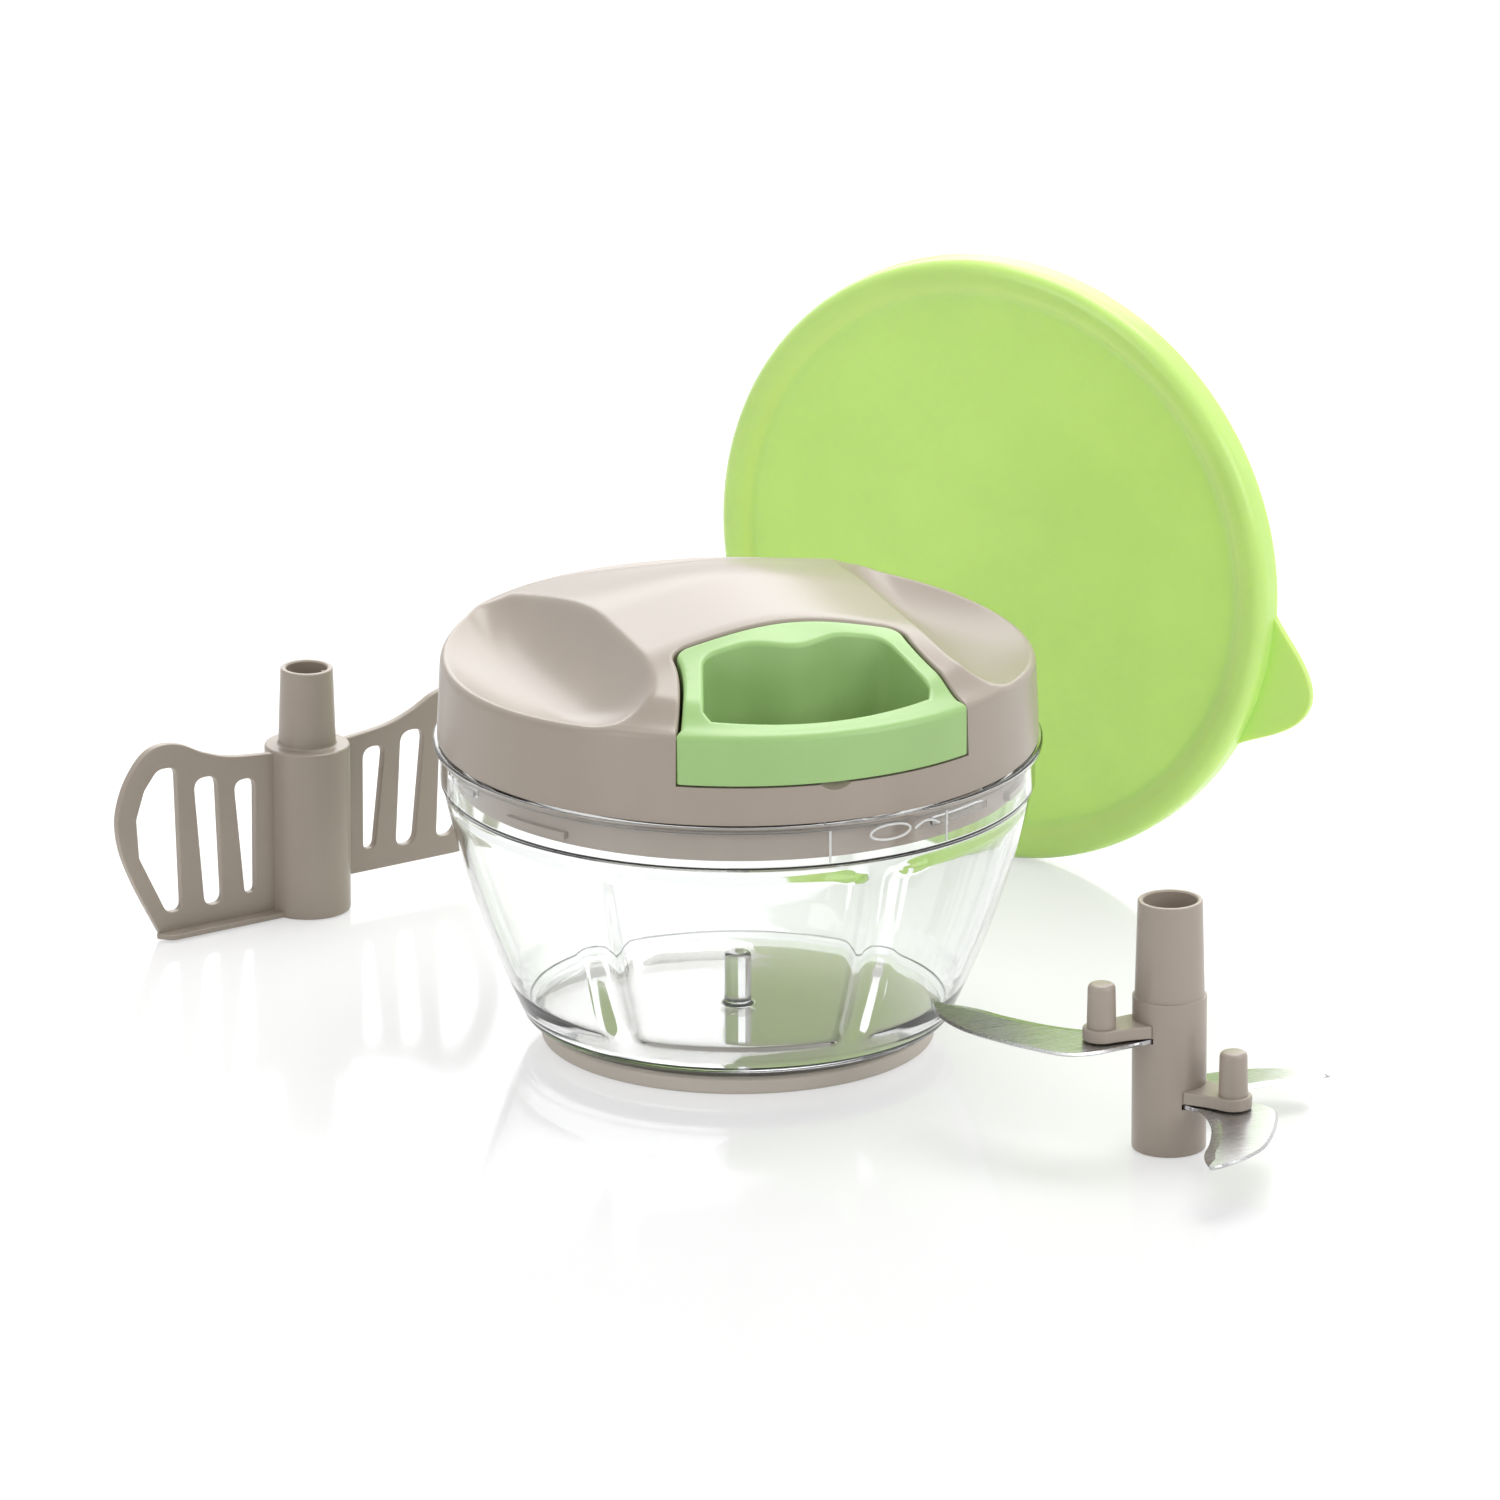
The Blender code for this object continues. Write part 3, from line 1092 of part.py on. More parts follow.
def build():
    clear_scene()
    taupe = material("taupe_plastic", TAUPE, 0.38)
    clear = material("clear_plastic", CLEAR, 0.05, alpha=0.25)
    green = material("handle_green", LEAF_GREEN, 0.40)
    steel = material("blade_steel", STEEL, 0.22, metallic=1.0)
    rubber = material("seal_rubber", RUBBER_GREY, 0.60)
    pale = material("inner_plastic", PALE_PLASTIC, 0.45)

    chopper = stand("bowl_axis")
    carry(chopper, base_ring(material("foot_taupe", TAUPE, 0.55)), bowl(clear))

    seal = stand("cover_axis")
    carry(seal, cover_seal(material("silicone_grey", RUBBER_GREY, 0.55)))
    carry(seal, cover_shell(taupe), cover_plate(material("plate_taupe", TAUPE, 0.42)))
    carry(seal, shaft_bushing(material("bushing_brass", BRASS_YELLOW, 0.30, metallic=1.0)), shaft_seal(rubber))
    carry(seal, spring_cup(pale), recoil_spring(material("spring_steel", STEEL, 0.30, metallic=1.0)))
    carry(seal, axle_pin(material("axle_steel", STEEL, 0.20, metallic=1.0)))
    carry(seal, cord_eyelet(material("eyelet_steel", STEEL, 0.25, metallic=1.0)))
    screw_steel = material("screw_steel", STEEL, 0.30, metallic=1.0)
    for index, (x, y) in enumerate(screw_places()):
        head_low = PLATE_UNDERSIDE - GAP - SCREW_HEAD_HEIGHT
        carry(seal, screw(f"plate_screw_{index + 1}", x, y, head_low, SCREW_LENGTH, screw_steel))
    for index, (x, y) in enumerate(ear_places()):
        head_low = CUP_CEILING - GAP - SCREW_HEAD_HEIGHT
        carry(seal, screw(f"cup_screw_{index + 1}", x, y, head_low, CUP_SCREW_LENGTH, screw_steel))

    cord = material("cord_white", CORD_WHITE, 0.80)
    carry(seal, pull_cord(cord))
    drum = stand("spool_axis")
    carry(drum, spool(material("spool_plastic", PALE_PLASTIC, 0.40)), drive_shaft(material("shaft_taupe", TAUPE, 0.40)))
    carry(drum, cord_winding(material("winding_white", CORD_WHITE, 0.80)))
    carry(drum, axle_washer(material("washer_steel", STEEL, 0.25, metallic=1.0)))

    grip = stand("handle_slide", (0, HANDLE_BACK_Y, CORD_HEIGHT))
    carry(grip, pull_handle(green), cord_knot(material("knot_steel", STEEL, 0.30, metallic=1.0)))

    blade_stand = stand("blade_stand", (*BLADE_STAND, 0.0))
    blade_insert(blade_stand, material("insert_taupe", TAUPE, 0.42), steel)
    paddle(stand("paddle_stand", (*PADDLE_STAND, 0.0)), material("paddle_taupe", TAUPE, 0.42))
    lid_stand = stand("lid_stand", (*LID_STAND, LID_RADIUS), (radians(90), 0, radians(LID_TURN)))
    storage_lid(lid_stand, material("lid_lime", LIME_GREEN, 0.35))


build()
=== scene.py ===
"""Pull-cord food chopper with its storage lid, paddle and blade insert, dressed for a studio picture."""

import bmesh
import bpy
from math import acos, asin, atan2, cos, degrees, hypot, pi, radians, sin, sqrt
from mathutils import Matrix, Vector


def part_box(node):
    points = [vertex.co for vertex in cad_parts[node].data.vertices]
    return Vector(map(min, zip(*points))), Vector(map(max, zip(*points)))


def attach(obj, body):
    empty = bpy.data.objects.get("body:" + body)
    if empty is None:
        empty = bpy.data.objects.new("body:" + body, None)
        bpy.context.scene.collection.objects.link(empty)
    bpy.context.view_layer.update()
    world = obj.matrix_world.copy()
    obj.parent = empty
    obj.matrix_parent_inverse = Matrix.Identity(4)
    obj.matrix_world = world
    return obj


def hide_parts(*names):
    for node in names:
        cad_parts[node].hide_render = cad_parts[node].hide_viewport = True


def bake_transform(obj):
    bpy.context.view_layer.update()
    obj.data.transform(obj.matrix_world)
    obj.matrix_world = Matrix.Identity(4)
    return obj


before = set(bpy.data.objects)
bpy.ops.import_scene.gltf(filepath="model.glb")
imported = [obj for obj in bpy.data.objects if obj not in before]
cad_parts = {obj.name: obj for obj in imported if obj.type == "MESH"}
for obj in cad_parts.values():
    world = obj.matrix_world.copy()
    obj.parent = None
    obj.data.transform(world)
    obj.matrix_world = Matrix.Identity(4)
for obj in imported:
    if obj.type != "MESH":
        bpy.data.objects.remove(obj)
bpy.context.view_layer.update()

# The picture is taken with a long lens from a little above the table, turned so that the pull
# handle points slightly to the right. The frame covers about a third of a metre.
SIDE = radians(-19)
RISE = radians(18)
DISTANCE = 4.75
LENS = 0.509
AIM_RIGHT = 0.0027
AIM_UP = 0.0630
to_camera = Vector((sin(SIDE) * cos(RISE), -cos(SIDE) * cos(RISE), sin(RISE)))
picture_right = Vector((cos(SIDE), sin(SIDE), 0))
picture_up = to_camera.cross(picture_right)

scene = bpy.context.scene
camera_data = bpy.data.cameras.new("picture_camera")
camera_data.sensor_width = 36
camera_data.lens = LENS * 1000
camera_data.clip_end = 60
camera = bpy.data.objects.new("picture_camera", camera_data)
scene.collection.objects.link(camera)
aim = picture_right * AIM_RIGHT + picture_up * AIM_UP
axes = Matrix((picture_right, picture_up, to_camera)).transposed().to_4x4()
camera.matrix_world = Matrix.Translation(aim + to_camera * DISTANCE) @ axes
scene.camera = camera
scene.view_settings.view_transform = "Standard"


# The studio: a glossy white table sheet, a white surround and four soft boxes. The camera, gloss and
# clear plastic see the surround white and the table aglow; the pieces get only part of that light.
def light_box(name, place, target, size, power):
    """One soft box that looks at a point."""
    lamp = bpy.data.lights.new(name, "AREA")
    lamp.shape = "RECTANGLE"
    lamp.size, lamp.size_y = size
    lamp.energy = power
    box = bpy.data.objects.new(name, lamp)
    scene.collection.objects.link(box)
    box.location = place
    box.visible_camera = False
    box.rotation_euler = (Vector(target) - Vector(place)).to_track_quat("-Z", "Y").to_euler()
    return box


def set_inputs(node, **values):
    """Set inputs of a node by name, with _ for a space."""
    for name, value in values.items():
        node.inputs[name.replace("_", " ")].default_value = value
    return node


def added(tree, kind, **values):
    """New shader node with its inputs set."""
    return set_inputs(tree.nodes.new(f"ShaderNode{kind}"), **values)


def reckoned(tree, operation, first, second):
    """Result of a sum on two outputs, or on an output and a number."""
    node = tree.nodes.new("ShaderNodeMath")
    node.operation = operation
    tree.links.new(first, node.inputs[0])
    if isinstance(second, float):
        node.inputs[1].default_value = second
    else:
        tree.links.new(second, node.inputs[1])
    return node.outputs[0]


def seen_directly(tree):
    """1 for what the camera, gloss and clear plastic see, and 0 for all other light."""
    rays = tree.nodes.new("ShaderNodeLightPath")
    camera, gloss = rays.outputs["Is Camera Ray"], rays.outputs["Is Glossy Ray"]
    clear_or_gloss = reckoned(tree, "MAXIMUM", rays.outputs["Is Transmission Ray"], gloss)
    return reckoned(tree, "MAXIMUM", camera, clear_or_gloss)


def blended(tree, share, usual, special, output):
    """Send one shader to the output, and the special one as far as the share goes."""
    mix = tree.nodes.new("ShaderNodeMixShader")
    tree.links.new(share, mix.inputs["Fac"])
    tree.links.new(usual.outputs[0], mix.inputs[1])
    tree.links.new(special.outputs[0], mix.inputs[2])
    tree.links.new(mix.outputs[0], output.inputs["Surface"])


def new_look(name):
    """New material, with its nodes and its main shader."""
    look = bpy.data.materials.new(name)
    look.use_nodes = True
    return look, look.node_tree, look.node_tree.nodes["Principled BSDF"]


SURROUND_SEEN = 1.0
SURROUND_LIGHT = 0.50
surround = bpy.data.worlds.new("white_surround")
scene.world = surround
surround.use_nodes = True
tree = surround.node_tree
tree.nodes.clear()
fill = added(tree, "Background", Color=(1, 1, 1, 1), Strength=SURROUND_LIGHT)
seen = added(tree, "Background", Color=(1, 1, 1, 1), Strength=SURROUND_SEEN)
blended(tree, seen_directly(tree), fill, seen, tree.nodes.new("ShaderNodeOutputWorld"))

light_box("top_box", (0.40, 0.40, 1.45), (0.0, 0.0, 0.06), (1.2, 1.0), 18.0)
light_box("back_box", (0.50, 1.35, 0.75), (0.0, 0.0, 0.08), (1.6, 0.8), 9.0)
light_box("front_box", (0.85, -1.15, 0.65), (0.0, 0.0, 0.05), (1.1, 0.8), 6.5)
light_box("side_box", (-1.40, -0.60, 0.55), (0.0, 0.0, 0.05), (0.5, 1.0), 3.8)

TABLE_SIZE = 4.0
TABLE_DROP = 0.0002
TABLE_GLOW = 0.55
sheet = bmesh.new()
bmesh.ops.create_grid(sheet, x_segments=4, y_segments=4, size=TABLE_SIZE)
sheet_mesh = bpy.data.meshes.new("table_sheet")
sheet.to_mesh(sheet_mesh)
sheet.free()
table = bpy.data.objects.new("table_sheet", sheet_mesh)
table.location = (0, 0, -TABLE_DROP)
scene.collection.objects.link(table)
table_white, tree, table_shader = new_look("table_white")
set_inputs(table_shader, Base_Color=(0.93, 0.93, 0.93, 1), Roughness=0.10, IOR=1.5)
table_share = reckoned(tree, "MULTIPLY", seen_directly(tree), TABLE_GLOW)
blended(tree, table_share, table_shader, tree.nodes.new("ShaderNodeEmission"), tree.nodes["Material Output"])
sheet_mesh.materials.append(table_white)


# The base ring is a soft taupe ring and disc under the bowl that keeps it from sliding. It is moulded in
# one piece, with the satin gloss and the fine grain of a spark-eroded mould that all the plastics here
# share, and pressed on.
def noise(tree, scale, detail=2.0):
    """Noise in the piece's own coordinates, with the given number of waves per metre."""
    where = tree.nodes.new("ShaderNodeTexCoord")
    made = added(tree, "TexNoise", Scale=scale, Detail=detail)
    tree.links.new(where.outputs["Object"], made.inputs["Vector"])
    return made.outputs["Fac"]


def two_tone(tree, pattern, dark, light, shader, start=0.0, end=1.0):
    """Colour the shader from dark to light as the pattern rises from start to end."""
    ramp = tree.nodes.new("ShaderNodeValToRGB")
    first, last = ramp.color_ramp.elements
    first.position, last.position = start, end
    first.color, last.color = (*dark, 1), (*light, 1)
    tree.links.new(pattern, ramp.inputs["Fac"])
    tree.links.new(ramp.outputs["Color"], shader.inputs["Base Color"])


def varied_gloss(tree, pattern, low, high, shader):
    """Let the shader's roughness follow the pattern between two values."""
    gloss = added(tree, "MapRange", To_Min=low, To_Max=high)
    tree.links.new(pattern, gloss.inputs["Value"])
    tree.links.new(gloss.outputs["Result"], shader.inputs["Roughness"])


def bumped(tree, pattern, depth, strength, shader):
    """Raise and lower the shader's surface with the pattern."""
    bump = added(tree, "Bump", Distance=depth, Strength=strength)
    tree.links.new(pattern, bump.inputs["Height"])
    tree.links.new(bump.outputs["Normal"], shader.inputs["Normal"])


DRIFT_WAVES = 38.0
GRAIN_WAVES = 1.0 / 0.0004
TRANSLUCENT_DEPTH = 0.004


def plastic(name, colour, roughness, grain=0.00003, soft=0.0, glow=(1.0, 1.0, 1.0)):
    """Moulded plastic; grain is the height of its texture, and soft lets light through, tinted by glow."""
    look, tree, shader = new_look(name)
    drift = noise(tree, DRIFT_WAVES, 3.0)
    dark = [part * 0.965 for part in colour]
    light = [min(part * 1.03, 1.0) for part in colour]
    two_tone(tree, drift, dark, light, shader, 0.3, 0.7)
    varied_gloss(tree, drift, roughness * 0.88, roughness * 1.12, shader)
    bumped(tree, noise(tree, GRAIN_WAVES), grain, 0.6, shader)
    if soft:
        set_inputs(shader, Subsurface_Weight=soft, Subsurface_Radius=glow, Subsurface_Scale=TRANSLUCENT_DEPTH)
    return look


SAME_POINT = 1e-7


def finished(name, shape, look, body, slot, *stands_for, crease=34.0):
    """Turn a bmesh into a piece of the object that rides on a body and stands for CAD nodes."""
    bmesh.ops.remove_doubles(shape, verts=shape.verts, dist=SAME_POINT)
    bmesh.ops.recalc_face_normals(shape, faces=shape.faces)
    mesh = bpy.data.meshes.new(name)
    shape.to_mesh(mesh)
    shape.free()
    return settled(name, mesh, look, body, slot, *stands_for, crease=crease)


def settled(name, mesh, look, body, slot, *stands_for, crease=34.0):
    """Give a finished mesh its material, smooth shading and body, if it rides on only one."""
    mesh.materials.clear()
    mesh.materials.append(look)
    mesh.shade_smooth()
    mesh.set_sharp_from_angle(angle=radians(crease))
    piece = bpy.data.objects.new(name, mesh)
    scene.collection.objects.link(piece)
    even = piece.modifiers.new("even_shading", "WEIGHTED_NORMAL")
    even.keep_sharp = True
    if body:
        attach(piece, body)
    if stands_for:
        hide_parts(*stands_for)
    return piece


def turned(profile, steps, closed=True):
    """Spin a profile of (radius, height) points round the upright axis."""
    shape = bmesh.new()
    points = [shape.verts.new((radius, 0.0, height)) for radius, height in profile]
    edges = [shape.edges.new(pair) for pair in zip(points, points[1:])]
    if closed:
        edges.append(shape.edges.new((points[-1], points[0])))
    bmesh.ops.spin(shape, geom=points + edges, cent=(0, 0, 0), axis=(0, 0, 1),
                   angle=2 * pi, steps=steps, use_merge=True, use_duplicate=False)
    bmesh.ops.remove_doubles(shape, verts=shape.verts, dist=SAME_POINT)
    return shape


def bend_point(start, corner, end, share):
    """Point on the curve that rounds a corner between start and end."""
    return start * (1 - share) ** 2 + corner * 2 * share * (1 - share) + end * share ** 2


STRAIGHT = radians(84)


def softened(profile, radius, steps=3):
    """Round the corners of a (radius, height) profile or of a plan outline."""
    result = []
    last = len(profile) - 1
    for index, corner in enumerate(profile):
        point = Vector(corner)
        before = Vector(profile[index - 1]) - point
        after = Vector(profile[(index + 1) % len(profile)]) - point
        reach = min(before.length, after.length) * 0.48
        on_axis = abs(point.x) < 1e-9 and index in (0, last)
        alone = on_axis or before.length < 1e-9 or after.length < 1e-9
        half = STRAIGHT if alone else before.angle(after) / 2
        if alone or half > STRAIGHT:
            result.append(tuple(corner))
            continue
        setback = min(radius * cos(half) / sin(half), reach)
        start = point + before.normalized() * setback
        end = point + after.normalized() * setback
        result += [tuple(bend_point(start, point, end, step / steps)) for step in range(steps + 1)]
    return result


TAUPE = (0.372, 0.316, 0.264)
# The foot gets the cover's taupe made about 1.6 times paler: partly the ring's own paler tone, partly painted
# light for the light that bounces up onto it from the table.
FOOT_TAUPE_WITH_PAINTED_LIGHT = (0.600, 0.545, 0.475)
FOOT_ROUND = 0.0009
foot_low, foot_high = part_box("base_ring")
foot_radius = foot_high.x
foot_profile = [(0, foot_low.z), (foot_radius, foot_low.z), (foot_radius, foot_high.z), (0, foot_high.z)]
foot_taupe = plastic("foot_taupe_painted_light_look", FOOT_TAUPE_WITH_PAINTED_LIGHT, 0.45)
finished("foot_ring", turned(softened(foot_profile, FOOT_ROUND, 4), 160, closed=False), foot_taupe,
         "bowl", "foot_taupe", "base_ring")


# The bowl is one clear moulding: a tapered wall with six shallow panels inside, a pivot pin in the
# middle of its floor, an upright collar, and a thin flange at the rim. Three lugs inside the collar
# hold the cover.
BOWL_FLOOR = 0.0072
BOWL_UNDERSIDE = 0.0039
BOWL_CORNER = (0.0479, 0.0065)
BOWL_FOOT = [(0.0434, BOWL_UNDERSIDE), (0.0459, 0.0050)]
BOWL_INNER_START = 0.0105
SHOULDER = (0.0658, 0.05886)
BOWL_WALL = 0.0022
WALL_BULGE = 0.4
COLLAR_RADIUS = 0.0664
COLLAR_BORE = 0.0645
COLLAR_LOW = 0.0600
RIM_RADIUS = 0.0680
RIM_HEIGHT = 0.0700
RIM_THICKNESS = 0.0016
PIN_RADIUS = 0.0030
PIN_TOP = 0.0192
PANELS = 6
PANEL_MIDDLE = radians(-109)
PANEL_DEPTH = 0.0009
PANEL_LOW, PANEL_HIGH = 0.0110, 0.0575
PANEL_ARCH = 0.0030
PANEL_SIDE = 0.78
RIB_SIDE = 0.90
RIB_HIGH = 0.0592
RIB_DEPTH = 0.5


def wall_radius(height):
    """Outer radius of the bowl's tapered wall."""
    share = (height - BOWL_CORNER[1]) / (SHOULDER[1] - BOWL_CORNER[1])
    curved = (1 + WALL_BULGE) * share - WALL_BULGE * share * share
    return BOWL_CORNER[0] + (SHOULDER[0] - BOWL_CORNER[0]) * curved


def eased(value):
    """Rise from 0 to 1 that starts and ends level."""
    value = min(max(value, 0.0), 1.0)
    return value * value * (3 - 2 * value)


wall_heights = [BOWL_CORNER[1] + (SHOULDER[1] - BOWL_CORNER[1]) * step / 40 for step in range(41)]
outer_wall = [(wall_radius(height), height) for height in wall_heights]
inner_wall = [(radius - BOWL_WALL, height) for radius, height in outer_wall if height > BOWL_INNER_START]
outside = softened([(0, BOWL_UNDERSIDE)] + BOWL_FOOT + outer_wall[:2], 0.0012, 3)[:-1]
rim_edge = softened([
    outer_wall[-1], (COLLAR_RADIUS, COLLAR_LOW), (COLLAR_RADIUS, RIM_HEIGHT - RIM_THICKNESS),
    (RIM_RADIUS, RIM_HEIGHT - RIM_THICKNESS), (RIM_RADIUS, RIM_HEIGHT), (COLLAR_BORE, RIM_HEIGHT),
    (COLLAR_BORE, COLLAR_LOW), inner_wall[-1],
], 0.0006, 4)[4:-4]
floor_radius = inner_wall[0][0] - BOWL_WALL
inside = softened([inner_wall[1], inner_wall[0], (floor_radius, BOWL_FLOOR), (PIN_RADIUS, BOWL_FLOOR),
                   (PIN_RADIUS, PIN_TOP), (0, PIN_TOP)], 0.0010, 4)[5:]
bowl_profile = outside + outer_wall[1:] + rim_edge + inner_wall[:0:-1] + inside
bowl_shape = turned(bowl_profile, 240, closed=False)
for point in bowl_shape.verts:
    radius, height = hypot(point.co.x, point.co.y), point.co.z
    on_floor_or_pin = height < PANEL_LOW or radius < 2 * PIN_RADIUS
    if on_floor_or_pin or height > RIB_HIGH or radius > wall_radius(height) - BOWL_WALL / 2:
        continue
    turn = (atan2(point.co.y, point.co.x) - PANEL_MIDDLE) * PANELS / (2 * pi)
    share = abs(turn - round(turn)) * 2
    sides = 1 - eased((share - PANEL_SIDE) / 0.16)
    top = PANEL_HIGH - PANEL_ARCH * share ** 6
    ends = eased((height - PANEL_LOW) / 0.0030) * eased((top - height) / 0.0014)
    rib = RIB_DEPTH * eased((share - RIB_SIDE) / 0.09)
    rib *= eased((height - PANEL_LOW) / 0.0060) * eased((RIB_HIGH - height) / 0.0050)
    grown = (radius + PANEL_DEPTH * (sides * ends - rib)) / radius
    point.co.x *= grown
    point.co.y *= grown

CLEAR_IOR = 1.49
clear_plastic, tree, clear_shader = new_look("clear_bowl_look")
set_inputs(clear_shader, Base_Color=(0.975, 0.985, 0.985, 1), Transmission_Weight=1.0, IOR=CLEAR_IOR)
flow = noise(tree, 60.0)
varied_gloss(tree, flow, 0.015, 0.045, clear_shader)
bumped(tree, flow, 0.00006, 0.5, clear_shader)
lamp_rays = tree.nodes.new("ShaderNodeLightPath")
lamp_pass = added(tree, "BsdfTransparent", Color=(0.93, 0.94, 0.94, 1))
blended(tree, lamp_rays.outputs["Is Shadow Ray"], clear_shader, lamp_pass, tree.nodes["Material Output"])
finished("clear_bowl", bowl_shape, clear_plastic, "bowl", "clear_plastic", "bowl", crease=60)


# Three lugs stand inside the collar, and outside it the collar carries two upright lines, an oval ring
# and a short arc, raised a hair's breadth, that show how far the cover turns to lock.
LUG_ANGLES = (60, 180, 300)
LUG_HALF = 8
LUG_TAPER = 0.6
LUG_DEPTH = 0.0014
LUG_LOW, LUG_HIGH = 0.0646, 0.0662
MERGE = 0.0002


def arc(radius, start, end, steps, centre=(0, 0)):
    """Points along an arc round a centre, with both ends."""
    turns = [radians(start + (end - start) * index / steps) for index in range(steps + 1)]
    return [(centre[0] + radius * cos(turn), centre[1] + radius * sin(turn)) for turn in turns]


def plate_of(outline, low, high, shape=None):
    """Extrude a plan outline of (x, y) points from one height to another."""
    shape = shape or bmesh.new()
    floor = shape.faces.new([shape.verts.new((x, y, low)) for x, y in outline])
    top = bmesh.ops.extrude_face_region(shape, geom=[floor])
    moved = [item for item in top["geom"] if isinstance(item, bmesh.types.BMVert)]
    bmesh.ops.translate(shape, verts=moved, vec=(0, 0, high - low))
    return shape


lugs = bmesh.new()
for angle in LUG_ANGLES:
    lug = arc(COLLAR_BORE + MERGE, angle - LUG_HALF, angle + LUG_HALF, 12)
    lug += arc(COLLAR_BORE - LUG_DEPTH, angle + LUG_HALF - LUG_TAPER, angle - LUG_HALF + LUG_TAPER, 12)
    plate_of(lug, LUG_LOW, LUG_HIGH, lugs)
finished("bowl_lugs", lugs, clear_plastic, "bowl", "clear_plastic")

MARK_RADIUS = COLLAR_RADIUS - 0.00005
MARK_HALF_WIDTH = 0.00030
MARK_LINES = (-1.1, 25.0)
MARK_LOW, MARK_HIGH = 0.0607, 0.0680
OVAL_ANGLE, OVAL_HEIGHT = 11.6, 0.0659
OVAL_HALF_ANGLE, OVAL_HALF_HEIGHT = 4.4, 0.0017
ARC_START, ARC_RUN = 17.0, 6.0
ARC_LOW, ARC_RISE = 0.0655, 0.0013
marks = bpy.data.curves.new("lock_marks", "CURVE")
marks.dimensions = "3D"
marks.bevel_depth = MARK_HALF_WIDTH
marks.bevel_resolution = 2
marks.use_fill_caps = True


def mesh_of(made):
    """Mesh of a curve or of an object with all its modifiers done."""
    bpy.context.view_layer.update()
    return bpy.data.meshes.new_from_object(made.evaluated_get(bpy.context.evaluated_depsgraph_get()))


def mark(points, closed=False):
    """A raised line on the collar, through (degrees from the handle's middle, height) points."""
    line = marks.splines.new("POLY")
    line.points.add(len(points) - 1)
    line.use_cyclic_u = closed
    for item, (angle, height) in zip(line.points, points):
        turn = radians(angle - 90)
        item.co = (MARK_RADIUS * cos(turn), MARK_RADIUS * sin(turn), height, 1)


for angle in MARK_LINES:
    mark([(angle, MARK_LOW), (angle, MARK_HIGH)])
oval = []
for step in range(40):
    turn = 2 * pi * step / 40
    oval.append((OVAL_ANGLE + OVAL_HALF_ANGLE * cos(turn), OVAL_HEIGHT + OVAL_HALF_HEIGHT * sin(turn)))
mark(oval, closed=True)
mark([(ARC_START + ARC_RUN * step / 16, ARC_LOW + ARC_RISE * sin(pi * step / 16)) for step in range(17)])
marks_object = bpy.data.objects.new("lock_marks", marks)
scene.collection.objects.link(marks_object)
marks_mesh = mesh_of(marks_object)
bpy.data.objects.remove(marks_object)
frosted, tree, frosted_shader = new_look("frosted_mark")
set_inputs(frosted_shader, Transmission_Weight=0.20, IOR=CLEAR_IOR, Roughness=0.25)
two_tone(tree, noise(tree, 900.0), (0.80, 0.80, 0.79), (0.95, 0.95, 0.94), frosted_shader)
settled("lock_marks", marks_mesh, frosted, "bowl", "clear_plastic")


# The cover is one taupe moulding: a round skirt, a broad ridge that arches over its middle, and a
# scoop at either side for the fingers. The pocket in front takes the pull handle flush, and a thumb
# notch under it helps to lift the handle out.
SKIRT_RADIUS = 0.0672
SKIRT_LOW = 0.0703
TOP_RADIUS = 0.0664
EDGE_HEIGHT = 0.0910
EDGE_ROUND = 0.0012
SHOULDER_ROUND = 0.0020
RIM_EDGE = TOP_RADIUS - EDGE_ROUND
SKIRT_TOP = (TOP_RADIUS + 0.0001, EDGE_HEIGHT - 0.0050)
RIDGE_RISE = 0.0157
RIDGE_FRONT_RUN = 0.0380
RIDGE_BACK_RUN = 0.0630
RIDGE_BACK_END = 0.0620
RIDGE_EDGE_RUN = 0.0080
RIDGE_SPREAD = 0.0420
RIDGE_CROWN = 0.5
CREASE_BLEND = 0.0009
SCOOP_DEPTH = 0.0058
SCOOP_FLOOR = EDGE_HEIGHT - SCOOP_DEPTH
SCOOP_MIDDLE = 0.0500
SCOOP_RISE = 0.0154
SCOOP_RUN = 0.0180
SCOOP_LIP_START = 0.0500
SCOOP_LIP_RISE = 0.0036
SCOOP_END_RISE = 0.0018
SHELL_WALL = 0.0024
CAVITY_RADIUS = 0.0646
HANDLE_BOTTOM = 0.0795
POCKET_FLOOR = 0.0790
POCKET_GAP = 0.0008
POCKET_WALL = 0.0020
NOTCH_RADIUS = 0.0050
NOTCH_HEIGHT = POCKET_FLOOR + 0.0014
NOTCH_BACK = -0.0638
NOTCH_WALL = 0.0022
NOTCH_BALL = 0.0060
NOTCH_BALL_Y = -0.0690
NOTCH_BALL_HEIGHT = 0.0832
CEILING = 0.1180
SEAM_ROUND = 0.0009
FIT_GAP = 0.0003
CUT_PAST = 0.0020


def ramp(share):
    """Rise from 0 to 1 that starts steeply and ends level."""
    share = min(max(share, 0.0), 1.0)
    return (1 - RIDGE_CROWN) * eased(share) + RIDGE_CROWN * (1 - (1 - share) ** 2)


def ridge_height(x, y):
    """Height of the ridge that arches over the cover's middle."""
    rise = ramp(min((RIM_EDGE + y) / RIDGE_FRONT_RUN, (RIDGE_BACK_END - y) / RIDGE_BACK_RUN))
    across = 1 / (1 + (x / RIDGE_SPREAD) ** 2)
    return EDGE_HEIGHT + RIDGE_RISE * rise * across * ramp((RIM_EDGE - hypot(x, y)) / RIDGE_EDGE_RUN)


def scoop_height(x, y):
    """Height of the finger scoop at either side."""
    wall = max((SCOOP_MIDDLE - abs(x)) / SCOOP_RUN, 0.0)
    lip = min(max((hypot(x, y) - SCOOP_LIP_START) / (RIM_EDGE - SCOOP_LIP_START), 0.0), 1.0)
    end = y / SCOOP_MIDDLE
    return SCOOP_FLOOR + SCOOP_RISE * wall ** 2 + SCOOP_LIP_RISE * lip ** 2 + SCOOP_END_RISE * end ** 2


